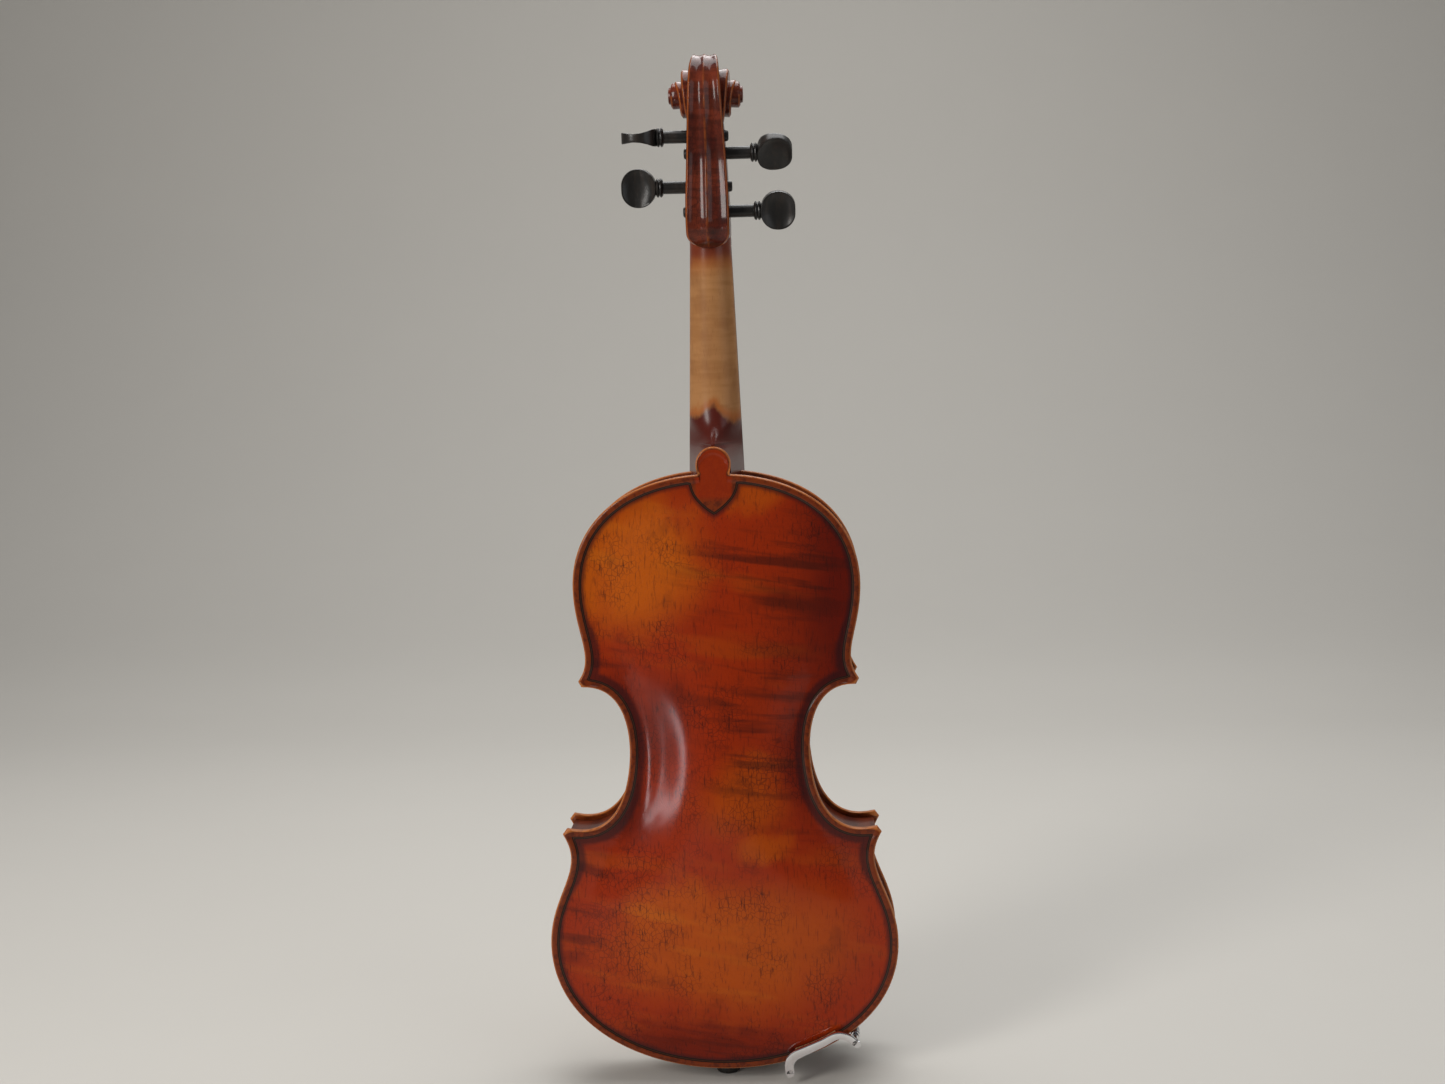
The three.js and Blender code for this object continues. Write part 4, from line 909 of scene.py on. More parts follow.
def build_fine_tuner(colours):
    chrome = chrome_finish(colours, "tuner_chrome")
    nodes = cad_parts
    for name in ("fine_tuner_frame", "fine_tuner_pin", "fine_tuner_lever"):
        nodes[name].data.materials.clear()
        nodes[name].data.materials.append(chrome)
    (y1, z1), (y0, z0) = TAILPIECE["top"], TAILPIECE["bottom"]
    lean = math.atan2(z1 - z0, y1 - y0) - math.pi / 2
    pivot = (string_offset("e") * TAIL_SPACING, tail_y(z1 - 3.5) + 4.6, z1 - 3.5)
    bm = bmesh.new()
    knurl = [(3.1 if k % 2 else 2.86, k) for k in range(36)]
    disc = lambda scale, y: [Vector((r * scale * math.cos(k * math.pi / 18), y,
                                     -15.5 + r * scale * math.sin(k * math.pi / 18))) * MM
                             for r, k in knurl]
    carry(bm, [disc(k, y) for k, y in [(0.8, 7.1), (0.97, 7.4), (1, 7.8), (1, 9.4), (0.97, 9.8), (0.8, 10.1),
                                       (0.3, 9.9)]])
    turned(bm, [(0, 1.4), (1, 1.5), (1, 7.3), (0, 7.4)], 20,
           Matrix.Translation((0, 0, -15.5 * MM)) @ Matrix.Rotation(-math.pi / 2, 4, "X"))
    bmesh.ops.transform(bm, matrix=Matrix.Translation(place(*pivot)) @ Matrix.Rotation(lean, 4, "X"),
                        verts=bm.verts)
    add_piece("tuner_thumbscrew", mesh_of(bm, "thumbscrew"), chrome, body="fine_tuner_screw",
              replaces=["fine_tuner_screw"])


# ---- Chin rest and clamp ----

CLAMP_AT = {"inner": 0.172, "outer": 0.365}
CLAMP_OUT = 5.6


def by_edge(share, out):
    """A place beside the plates' edge, at a share of the lower bout, as x and z."""
    return bout_line("lower", OVERHANG + out, [share])[0]


def barrel_at(name):
    return by_edge(CLAMP_AT[name], CLAMP_OUT)


def clamp_bar(bm, y0, y1, widths):
    """The bar that hooks over the plate's edge at its two ends."""
    knots = [barrel_at("inner"), by_edge(0.179, -0.5), by_edge(0.2, -4), by_edge(0.24, -5),
             by_edge(0.29, -5.2),
             by_edge(0.335, -4.8), by_edge(0.358, -0.3), barrel_at("outer")]
    path = rounded(knots, 12)
    steps = np.linspace(0, 1, 90)
    points, tangents = spaced(path, steps)
    soft = 0.55
    rings = []
    for t, (x, z), (tx, tz) in zip(steps, points, tangents):
        half = widths(t) / 2
        loop = [(-half, y0 + soft), (-half + soft * 0.3, y0 + soft * 0.3), (-half + soft, y0),
                (half - soft, y0),
                (half - soft * 0.3, y0 + soft * 0.3), (half, y0 + soft), (half, y1 - soft),
                (half - soft * 0.3, y1 - soft * 0.3),
                (half - soft, y1), (-half + soft, y1), (-half + soft * 0.3, y1 - soft * 0.3),
                (-half, y1 - soft)]
        rings.append([place(x + tz * w, y, BODY_Z + z - tx * w) for w, y in loop])
    carry(bm, rings)


def upright(bm, spot, profile, steps=28):
    """A turned shape standing along Y at a place beside the body."""
    turned(bm, profile, steps, Matrix.Translation(place(spot[0], 0, BODY_Z + spot[1]))
           @ Matrix.Rotation(-math.pi / 2, 4, "X"))


def build_chin_rest(colours):
    ebony = ebony_finish(colours, "chin_rest_ebony", 0.22)
    profile = rounded([(0, 0), (0.5, 0.4), (0.8, 2.6), (0.95, 5.6), (1, 7.6), (0.985, 8.8), (0.95, 9.15),
                       (0.91, 8.7), (0.8, 6.9),
                       (0.55, 4.7), (0.25, 3.8), (0, 3.6)], 3)
    bm = bmesh.new()
    around = np.linspace(0, 2 * math.pi, 72, endpoint=False)
    squarish = lambda a: (abs(math.cos(a)) ** 2.4 + abs(math.sin(a)) ** 2.4) ** (-1 / 2.4)
    tilt = Matrix.Rotation(-0.07, 4, "Z")
    rings = []
    for r, h in profile:
        r = max(r, 0.01)
        loop = []
        for a in around:
            grow = mix(1, min(1, squarish(a) * 0.955), smooth(r, 0.3, 1))
            loop.append(tilt @ place(38 * r * grow * math.cos(a), h, 34 * r * grow * math.sin(a))
                        + place(59, EDGE_Y + 16, BODY_Z + 42))
        rings.append(loop)
    carry(bm, rings)
    foot = bmesh.new()
    shares = np.linspace(0.2, 0.34, 16)
    rows = []
    for y in (EDGE_Y + 4.8, EDGE_Y + 5.4, EDGE_Y + 8, EDGE_Y + 12, EDGE_Y + 17.2):
        drawn = 0.5 if y < EDGE_Y + 5 else 0
        outer = [by_edge(u, -0.5 - drawn) for u in shares]
        inner = [by_edge(u, -15 + drawn) for u in shares[::-1]]
        rows.append([place(x, y, BODY_Z + z) for x, z in outer + inner])
    carry(foot, rows)
    joined(bm, foot)
    add_piece("chin_cup", mesh_of(bm, "chin_cup"), ebony, replaces=["chin_rest"])


def build_clamp(colours):
    chrome = chrome_finish(colours, "clamp_chrome")
    spots = {name: barrel_at(name) for name in CLAMP_AT}
    eye = lambda y0, y1: [(0, y0), (2.2, y0), (2.6, y0 + 0.4), (2.6, y1 - 0.4), (2.2, y1), (0, y1)]
    bm = bmesh.new()
    clamp_bar(bm, EDGE_Y + 2.1, EDGE_Y + 4.5, lambda t: 4)
    for spot in spots.values():
        upright(bm, spot, eye(EDGE_Y + 2.1, EDGE_Y + 4.5))
        upright(bm, spot, [(0, 5), (1.2, 5), (1.5, 5.3), (1.5, EDGE_Y + 3), (0, EDGE_Y + 3)], 16)
    add_piece("clamp_top_bar", mesh_of(bm, "top_bar"), chrome, replaces=["clamp_bracket"])
    bm = bmesh.new()
    clamp_bar(bm, -EDGE_Y - 5.2, -EDGE_Y - 2.5, lambda t: mix(5.6, 4.4, smooth(t, 0.1, 0.9)))
    for spot in spots.values():
        upright(bm, spot, eye(-EDGE_Y - 5.2, -EDGE_Y - 2.5))
        upright(bm, spot, [(0, -EDGE_Y - 3), (1.5, -EDGE_Y - 3), (1.5, -5.3), (1.2, -5), (0, -5)], 16)
    add_piece("clamp_back_bar", mesh_of(bm, "back_bar"), chrome, body="clamp_foot",
              replaces=["clamp_foot"])
    for name, spot in spots.items():
        bm = bmesh.new()
        upright(bm, spot, [(1.8, -11), (2.5, -11), (2.9, -10.5), (2.9, -8), (2.75, -7.8), (2.9, -7.6),
                           (2.9, 7.6), (2.75, 7.8),
                           (2.9, 8), (2.9, 10.5), (2.5, 11), (1.8, 11), (1.8, -11)], 40)
        shell = mesh_of(bm, "barrel")
        bm = bmesh.new()
        for lean in (0, math.pi / 2):
            key = Matrix.Translation(place(spot[0], 0, BODY_Z + spot[1])) @ Matrix.Rotation(lean, 4, "Y")
            bmesh.ops.create_cone(bm, cap_ends=True, segments=20, radius1=0.9 * MM, radius2=0.9 * MM,
                                  depth=9 * MM, matrix=key)
        add_piece("clamp_turnbuckle_" + name, carve(shell, mesh_of(bm, "key_holes"), "barrel"), chrome,
                  body="clamp_barrel_" + name, replaces=["clamp_barrel_" + name])
    cork = cork_finish(colours)
    top_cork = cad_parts["cork_top"].data
    top_cork.materials.clear()
    top_cork.materials.append(cork)
    bm = bmesh.new()
    rows = []
    for share in np.linspace(0.205, 0.335, 14):
        (x0, z0), (x1, z1) = by_edge(share, -3.2), by_edge(share, -6.8)
        at = [(mix(x0, x1, t), mix(z0, z1, t)) for t in (0, 0.5, 1)]
        low = [place(x, -EDGE_Y - 2.15, BODY_Z + z) for x, z in at]
        high = [place(x, -EDGE_Y - BACK_RISE * float(arch_share(x, z)) - 0.05, BODY_Z + z)
                for x, z in at[::-1]]
        rows.append(low + high)
    carry(bm, rows)
    add_piece("clamp_back_cork", mesh_of(bm, "back_cork"), cork, body="clamp_foot",
              replaces=["cork_back"])


def build_inner_wood(colours):
    """The blocks, linings, bar and post inside the body keep their own shapes."""
    willow = bare_wood(colours, "bare_willow", colours.willow)
    spruce = bare_wood(colours, "bare_spruce", colours.inner_spruce)
    for name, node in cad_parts.items():
        if name.startswith(("lining_", "block_")) or name in ("bass_bar", "sound_post"):
            node.data.materials.clear()
            node.data.materials.append(spruce if name in ("bass_bar", "sound_post") else willow)


# ---- Finishes ----

# The slope of the back's flames, and how strongly bare and coated varnish reflects.
FLAME_SLOPE = math.radians(-9)
VARNISH = {"ior": 1.15, "coat_ior": 1.4}


class Signal:
    """A value or colour inside a finish, with arithmetic."""

    def __init__(self, finish, socket):
        self.finish, self.socket = finish, socket

    def _math(self, operation, *values, clamp=False):
        settings = {"operation": operation, "use_clamp": clamp}
        return self.finish.node("ShaderNodeMath", settings, dict(enumerate(values)))

    def __add__(self, other):
        return self._math("ADD", self, other)

    __radd__ = __add__

    def __sub__(self, other):
        return self._math("SUBTRACT", self, other)

    def __rsub__(self, other):
        return self._math("SUBTRACT", other, self)

    def __mul__(self, other):
        return self._math("MULTIPLY", self, other)

    __rmul__ = __mul__

    def __truediv__(self, other):
        return self._math("DIVIDE", self, other)

    def __pow__(self, other):
        return self._math("POWER", self, other)

    def __abs__(self):
        return self._math("ABSOLUTE", self)

    def clamped(self):
        return self._math("ADD", self, 0.0, clamp=True)

    def either(self, other):
        return self._math("MAXIMUM", self, other)

    def step(self, low, high):
        """A smooth rise from 0 at low to 1 at high, or a fall where low is the larger."""
        ends = (0.0, 1.0) if high > low else (1.0, 0.0)
        span = {"From Min": min(low, high), "From Max": max(low, high), "To Min": ends[0], "To Max": ends[1]}
        return self.finish.node("ShaderNodeMapRange", {"interpolation_type": "SMOOTHSTEP"},
                                {"Value": self, **span})


class Finish:
    """A material whose shader is a Principled BSDF."""

    def __init__(self, name, **constants):
        self.material = bpy.data.materials.new(name)
        self.material.use_nodes = True
        self.tree = self.material.node_tree
        self.shader = self.tree.nodes["Principled BSDF"]
        for key, value in constants.items():
            self.shader.inputs[key.replace("_", " ").title().replace("Ior", "IOR")].default_value = value

    def node(self, kind, settings=(), values=(), output=0):
        made = self.tree.nodes.new(kind)
        for key, value in dict(settings).items():
            setattr(made, key, value)
        for key, value in dict(values).items():
            if isinstance(value, Signal):
                self.tree.links.new(value.socket, made.inputs[key])
            else:
                made.inputs[key].default_value = value
        return Signal(self, made.outputs[output])

    def place(self, scale=(1, 1, 1), turn=(0, 0, 0)):
        """Object coordinates in millimetres, turned and then scaled."""
        coords = self.node("ShaderNodeTexCoord", output="Object")
        turned_by = self.node("ShaderNodeMapping",
                              values={"Vector": coords, "Rotation": turn, "Scale": (1000, 1000, 1000)})
        return self.node("ShaderNodeMapping", values={"Vector": turned_by, "Scale": scale})

    def axes(self):
        return [self.node("ShaderNodeSeparateXYZ", values={"Vector": self.place()}, output=k)
                for k in range(3)]

    def noise(self, scale=(1, 1, 1), detail=2.0, roughness=0.5, turn=(0, 0, 0), at=None):
        return self.node("ShaderNodeTexNoise", values={
            "Vector": at or self.place(scale, turn), "Scale": 1.0, "Detail": detail, "Roughness": roughness,
            "Distortion": 0.0})

    def cracks(self, scale, at=None):
        return self.node("ShaderNodeTexVoronoi", {"feature": "DISTANCE_TO_EDGE"},
                         {"Vector": at or self.place(scale), "Scale": 1.0})

    def attribute(self, name):
        return self.node("ShaderNodeAttribute", {"attribute_name": name}, output="Fac")

    def tint(self, amount, under, over):
        """The colour under, with over laid on it where amount is 1."""
        colour = lambda c: c if isinstance(c, Signal) else (*c[:3], 1)
        return self.node("ShaderNodeMix", {"data_type": "RGBA", "blend_type": "MIX", "clamp_factor": True},
                         {0: amount, 6: colour(under), 7: colour(over)}, output=2)

    def bump(self, height, depth):
        """Relief of a given depth in millimetres."""
        relief = {"Height": height * depth, "Distance": MM, "Strength": 1.0}
        self.wear("Normal", self.node("ShaderNodeBump", values=relief))

    def wear(self, socket, signal):
        self.tree.links.new(signal.socket, self.shader.inputs[socket])


def old_varnish(finish, base, dark, across):
    """The fine dark ticks, cracks and dirt that old varnish has, over a base colour."""
    ticks = finish.noise(across, 3, 0.6).step(0.54, 0.70)
    patches = finish.noise((0.03, 0.03, 0.03), 3, 0.6).step(0.42, 0.62)
    base = finish.tint(ticks * (0.4 + 0.3 * patches), base, dark)
    web = finish.cracks((0.36, 0.36, 0.28)).step(0.09, 0.0)
    return finish.tint(web * patches * 0.5, base, dark), ticks, web


def back_varnish(colours):
    finish = Finish("back_varnish", coat_weight=0.5, coat_roughness=0.11, **VARNISH)
    x, _, z = finish.axes()
    drift = finish.noise((0.02, 0.02, 0.012), 4, 0.55) - 0.5
    broad = finish.noise((0.009, 0.009, 0.007), 3, 0.6) - 0.5
    px, pz = x + drift * 55 + broad * 40, z + drift * 45

    def pool(cx, cz, rx, rz):
        """A soft round patch, 1 in its middle."""
        far = ((px - cx) / rx) ** 2 + ((pz - cz) / rz) ** 2
        return (far ** 0.5).step(1.15, 0.35)

    def streaks(along, across, low, high):
        """Soft flames that slope down to the right."""
        return finish.noise((along, along, across), 3, 0.5, turn=(0, FLAME_SLOPE, 0)).step(low, high)

    bright = pool(-40, 316, 44, 44).either(pool(-34, 104, 30, 26) * 0.6).either(pool(22, 146, 22, 12) * 0.55)
    gold = bright.either(pool(2, 82, 84, 46) * 0.62).either(pool(12, 176, 34, 30) * 0.45)
    gold = gold.either(pool(22, 350, 20, 14) * 0.5)
    # Crimson patches of thick varnish, and crimson over the right side as painted shade.
    crimson_and_shade = px.step(22, 74) * pz.step(100, 190)
    crimson_and_shade = crimson_and_shade.either(pool(0, 8, 130, 34) * 0.75).either(pool(-70, 166, 46, 26) * 0.8)
    crimson_and_shade = crimson_and_shade.either(pool(-46, 224, 26, 44) * 0.7).either(pool(60, 205, 30, 60) * 0.8)
    colour = finish.tint(gold, colours.varnish_middle, colours.varnish_gold)
    colour = finish.tint(crimson_and_shade * (1 - gold * 0.6) * 0.92, colour, colours.crimson_varnish_and_shade)
    flamed = pool(34, 306, 62, 34).either(pool(22, 216, 52, 62))
    flamed = flamed.either(pool(-88, 118, 26, 44)).either(pool(66, 142, 36, 20))
    flamed = flamed.either(pool(4, 24, 78, 18) * 0.7).either(pool(-66, 262, 40, 16) * 0.8)
    flames = (streaks(0.013, 0.10, 0.50, 0.66) * 0.55).either(streaks(0.022, 0.2, 0.52, 0.68) * 0.45)
    colour = finish.tint((flames * (0.1 + flamed)).clamped(), colour, colours.varnish_shadow)
    light_flames = streaks(0.012, 0.06, 0.54, 0.72) * (0.12 + 0.4 * gold)
    colour = finish.tint(light_flames * (1 - crimson_and_shade), colour, colours.varnish_bright)
    colour, ticks, web = old_varnish(finish, colour, colours.varnish_shadow, (1.0, 1.0, 0.12))
    smudges = finish.noise((0.05, 0.05, 0.04), 4, 0.65).step(0.55, 0.74)
    colour = finish.tint(smudges * 0.25, colour, colours.varnish_shadow)
    colour = plate_edges(finish, colour, colours, 1.6, 0.7)
    badge = (abs(x).step(11.5, 9.5) * z.step(BODY_Z + BODY_LENGTH - 17, BODY_Z + BODY_LENGTH - 12)
             * finish.attribute("from_purfling").step(-0.8, -1.2)
             * finish.attribute("from_edge").step(1.2, 2))
    colour = finish.tint(badge * 0.75, colour, colours.varnish_middle)
    finish.wear("Base Color", colour)
    finish.wear("Roughness", 0.34 + 0.16 * finish.noise((0.06, 0.06, 0.06), 3))
    purfling_dip = abs(finish.attribute("from_purfling")).step(0.9, 0.4)
    finish.bump(0.5 * ticks + web + 1.2 * purfling_dip + 0.5 * finish.noise((0.4, 0.4, 0.25), 3), -0.035)
    return finish.material


def plate_edges(finish, colour, colours, band, strength):
    """Dirt inside the purfling, the purfling itself, and the worn rim of a plate."""
    inward = finish.attribute("from_purfling")
    edge = finish.attribute("from_edge")
    _, _, z = finish.axes()
    narrow = ((z - 200) / 78) ** 2
    uneven = finish.noise((0.035, 0.035, 0.035), 3, 0.6)
    reach = (inward - band * (0.3 + uneven * 2.2) - 2.6 * narrow.step(1.2, 0.6)).step(1.6, -1.6)
    colour = finish.tint(reach * inward.step(-0.5, 0.3) * strength, colour, colours.edge_dirt)
    outside = inward.step(0.0, -0.5)
    colour = finish.tint(outside * 0.9, colour, colours.edge_varnish)
    mottled = finish.noise((0.3, 0.3, 0.3), 3, 0.6)
    colour = finish.tint(outside * mottled.step(0.45, 0.62) * 0.45, colour, colours.edge_dirt)
    rim = edge.step(1.2, 0.3) * (0.5 + 0.6 * mottled.step(0.3, 0.55))
    colour = finish.tint(rim.clamped(), colour, colours.worn_rim)
    line = abs(inward)
    colour = finish.tint(line.step(0.85, 0.6), colour, colours.purfling_black)
    return finish.tint(line.step(0.28, 0.12) * 0.5, colour, colours.purfling_white)


def rib_varnish(colours):
    finish = Finish("rib_varnish", coat_weight=0.5, coat_roughness=0.14, **VARNISH)
    along = finish.attribute("along")
    _, y, _ = finish.axes()
    at = finish.node("ShaderNodeCombineXYZ", values={"X": along * 0.16, "Y": y * 0.022, "Z": along * 0.03})
    flames = finish.noise(at=at, detail=2, roughness=0.5).step(0.40, 0.62)
    colour = finish.tint(flames * 0.75, colours.rib_light, colours.rib_dark)
    wide = finish.noise((0.02, 0.02, 0.02), 3, 0.55).step(0.35, 0.65)
    colour = finish.tint(wide * 0.5, colour, colours.crimson_varnish_and_shade)
    # Darker towards both edges of each rib, beside the plates.
    rim = abs(y).step(12.2, 15.0)
    colour = finish.tint(rim * 0.6, colour, colours.edge_dirt)
    colour, ticks, web = old_varnish(finish, colour, colours.varnish_shadow, (0.3, 1.9, 0.3))
    finish.wear("Base Color", colour)
    finish.wear("Roughness", 0.3 + 0.2 * finish.noise((0.07, 0.07, 0.07), 3))
    finish.bump(0.5 * ticks + web, -0.03)
    return finish.material


def top_varnish(colours):
    finish = Finish("top_varnish", coat_weight=0.45, coat_roughness=0.15, **VARNISH)
    x, _, z = finish.axes()
    wander = finish.noise((0.02, 0.02, 0.006), 2, 0.5)
    rings = finish.node("ShaderNodeMath", {"operation": "FRACT"}, {0: abs(x) / 1.25 + wander * 1.6})
    grain = rings.step(0.55, 0.95) * rings.step(1.0, 0.96)
    wide = finish.noise((0.012, 0.012, 0.01), 4, 0.6)
    colour = finish.tint(wide.step(0.36, 0.62), colours.top_gold, colours.top_red)
    worn = ((x / 46) ** 2 + ((z - 180) / 60) ** 2).step(1.3, 0.2) * wide.step(0.3, 0.55)
    colour = finish.tint(worn * 0.7, colour, colours.top_worn)
    colour = finish.tint(grain * 0.55, colour, colours.top_grain)
    rosin = (x / 24) ** 2 + ((z - 190) / 26) ** 2
    colour = finish.tint(rosin.step(1.2, 0.3) * finish.noise((0.2, 0.2, 0.2), 4).step(0.4, 0.7) * 0.35,
                         colour, colours.top_grain)
    colour, ticks, web = old_varnish(finish, colour, colours.varnish_shadow, (1.6, 1.6, 0.12))
    colour = plate_edges(finish, colour, colours, 1.8, 0.5)
    finish.wear("Base Color", colour)
    finish.wear("Roughness", 0.34 + 0.18 * finish.noise((0.08, 0.08, 0.08), 3))
    finish.bump(grain + 0.4 * ticks + web + abs(finish.attribute("from_purfling")).step(0.9, 0.4), -0.03)
    return finish.material


def head_varnish(colours):
    finish = Finish("head_varnish", coat_weight=0.6, coat_roughness=0.1, **VARNISH)
    mottle = finish.noise((0.06, 0.06, 0.05), 4, 0.6)
    colour = finish.tint(mottle.step(0.34, 0.66), colours.head_red, colours.head_dark)
    flames = finish.noise((0.05, 0.05, 0.28), 2, 0.5).step(0.45, 0.62)
    colour = finish.tint(flames * 0.4, colour, colours.varnish_shadow)
    colour, ticks, web = old_varnish(finish, colour, colours.varnish_shadow, (1.9, 1.9, 0.2))
    rubbed = finish.noise((0.25, 0.25, 0.12), 3, 0.6)
    chamfer = finish.attribute("chamfer")
    colour = finish.tint((chamfer.step(0.35, 0.9) * (0.4 + 0.6 * rubbed)).clamped(), colour,
                         colours.rubbed_gold_and_ridge_highlight)
    # Lighter along the ridge: rubbed varnish with a painted highlight.
    colour = finish.tint((finish.attribute("ridge").step(0.5, 1.0) * rubbed.step(0.35, 0.6) * 0.4).clamped(),
                         colour, colours.rubbed_gold_and_ridge_highlight)
    finish.wear("Base Color", colour)
    finish.wear("Roughness", 0.26 + 0.2 * mottle)
    finish.bump(0.5 * ticks + web + 0.8 * mottle, -0.03)
    return finish.material


def neck_wood(colours):
    finish = Finish("neck_wood", roughness=0.42, ior=1.2, coat_weight=0.25, coat_roughness=0.25)
    x, y, z = finish.axes()
    flame_at = z + x * 0.12
    flames = finish.noise((0.03, 0.05, 0.22), 2, 0.5).step(0.38, 0.66)
    colour = finish.tint(flames * 0.5, colours.neck_bare, colours.neck_flame)
    pores = finish.noise((1.8, 1.8, 0.1), 3, 0.6).step(0.58, 0.7)
    colour = finish.tint(pores * 0.35, colour, colours.neck_dark)
    worn = finish.noise((0.05, 0.05, 0.03), 3, 0.6)
    colour = finish.tint(worn.step(0.45, 0.7) * 0.35, colour, colours.neck_dark)
    lobes = flame_at + abs(x) * 0.9 + (finish.noise((0.09, 0.09, 0.05), 3, 0.6) - 0.5) * 16 - (y + 15) * 0.35
    heel = lobes.step(399, 393)
    rim = lobes.step(405, 397) - heel
    chin = (z + (worn - 0.5) * 10).step(482, 492)
    colour = finish.tint((rim * 0.8 + z.step(474, 488) * 0.6).clamped(), colour, colours.neck_stain)
    colour = finish.tint(heel, colour, colours.heel_red)
    colour = finish.tint(chin * 0.95, colour, colours.head_red)
    finish.wear("Base Color", colour)
    finish.wear("Coat Weight", (0.1 + heel.either(chin) * 0.3).clamped())
    finish.wear("Roughness", 0.44 - 0.14 * heel.either(chin) + 0.08 * worn)
    finish.bump(pores + 0.4 * flames, -0.03)
    return finish.material


def ebony_finish(colours, name, roughness):
    finish = Finish(name, roughness=roughness, ior=1.35, coat_weight=0.2, coat_roughness=0.25)
    streaks = finish.noise((0.25, 0.25, 0.05), 4, 0.6).step(0.42, 0.75)
    colour = finish.tint(streaks * 0.6, colours.ebony, colours.ebony_streak)
    pores = finish.noise((2.2, 2.2, 0.3), 2, 0.5).step(0.6, 0.72)
    finish.wear("Base Color", finish.tint(pores * 0.4, colour, colours.ebony))
    finish.wear("Roughness", roughness + 0.14 * finish.noise((0.15, 0.15, 0.1), 3) + 0.1 * pores)
    finish.bump(pores, -0.02)
    return finish.material


def chrome_finish(colours, name):
    finish = Finish(name, metallic=1.0, roughness=0.08)
    haze = finish.noise((0.12, 0.12, 0.12), 3, 0.6)
    scratches = finish.noise((0.6, 6, 0.6), 2, 0.5, turn=(0.3, 0.2, 0.7)).step(0.62, 0.72)
    finish.wear("Base Color", finish.tint(haze.step(0.5, 0.75) * 0.35, colours.chrome, colours.chrome_dull))
    finish.wear("Roughness", 0.06 + 0.1 * haze.step(0.45, 0.8) + 0.08 * scratches)
    finish.bump(scratches, -0.004)
    return finish.material


def string_finish(colours):
    finish = Finish("string_steel", metallic=1.0, roughness=0.28)
    _, _, z = finish.axes()
    wound = finish.node("ShaderNodeMath", {"operation": "SINE"}, {0: z * 21})
    # Painted shade between the turns of the winding.
    finish.wear("Base Color", finish.tint(wound.step(-1, 1) * 0.4, colours.string_steel, colours.winding_gap_shade))
    finish.wear("Roughness", 0.24 + 0.12 * finish.noise((0.2, 0.2, 0.2), 2))
    finish.bump(wound, 0.02)
    return finish.material


def thread_finish(colours):
    finish = Finish("silk_thread", roughness=0.6, sheen_weight=0.4)
    _, _, z = finish.axes()
    turns = finish.node("ShaderNodeMath", {"operation": "SINE"}, {0: z * 25})
    finish.wear("Base Color", finish.tint(turns.step(-1, 1), colours.silk_dark, colours.silk))
    finish.bump(turns, 0.05)
    return finish.material


def cord_finish(colours):
    finish = Finish("nylon_cord", roughness=0.4)
    x, y, z = finish.axes()
    twist = finish.node("ShaderNodeMath", {"operation": "SINE"}, {0: (y + z + x) * 6})
    # Painted shade in the grooves of the twist, lighter on its strands.
    finish.wear("Base Color", finish.tint(twist.step(-1, 1) * 0.5, colours.ebony, colours.ebony_streak))
    finish.bump(twist, 0.04)
    return finish.material


def bridge_finish(colours):
    finish = Finish("bridge_maple", roughness=0.45, ior=1.5, coat_weight=0.1)
    flecks = finish.noise((0.35, 0.35, 2.2), 3, 0.6).step(0.55, 0.66)
    grain = finish.noise((0.06, 2.4, 0.3), 3, 0.6).step(0.4, 0.7)
    colour = finish.tint(grain * 0.4, colours.bridge_maple, colours.bridge_grain)
    colour = finish.tint(flecks * 0.55, colour, colours.bridge_grain)
    finish.wear("Base Color", colour)
    finish.wear("Roughness", 0.42 + 0.12 * grain)
    finish.bump(flecks + grain, -0.02)
    return finish.material


def cork_finish(colours):
    finish = Finish("cork_sheet", roughness=0.85)
    specks = finish.noise((0.9, 0.9, 0.9), 4, 0.7)
    dark = finish.cracks((0.8, 0.8, 0.8)).step(0.12, 0.02)
    colour = finish.tint(specks.step(0.4, 0.62), colours.cork, colours.cork_dark)
    finish.wear("Base Color", finish.tint(dark * 0.6, colour, colours.cork_dark))
    finish.wear("Roughness", 0.78 + 0.15 * specks)
    finish.bump(specks + dark, -0.12)
    return finish.material


def bare_wood(colours, name, colour):
    finish = Finish(name, roughness=0.6)
    grain = finish.noise((1.4, 1.4, 0.06), 3, 0.6).step(0.45, 0.7)
    patches = finish.noise((0.05, 0.05, 0.03), 3, 0.6)
    aged = finish.tint(patches.step(0.4, 0.7) * 0.5, colour, colours.neck_dark)
    finish.wear("Base Color", finish.tint(grain * 0.4, aged, colours.bridge_grain))
    finish.wear("Roughness", 0.55 + 0.2 * grain)
    finish.bump(grain, -0.03)
    return finish.material


def backdrop_finish(colours):
    finish = Finish("pale_backdrop", roughness=0.8)
    grain = finish.noise((0.01, 0.01, 0.01), 3, 0.5)
    finish.wear("Base Color", finish.tint(grain * 0.12, colours.backdrop, colours.backdrop_shade))
    return finish.material


# ---- What a user would change ----

def colour_of(name, description, value):
    return bpy.props.FloatVectorProperty(name=name, description=description, subtype="COLOR", size=3,
                                         min=0, max=1, default=value)


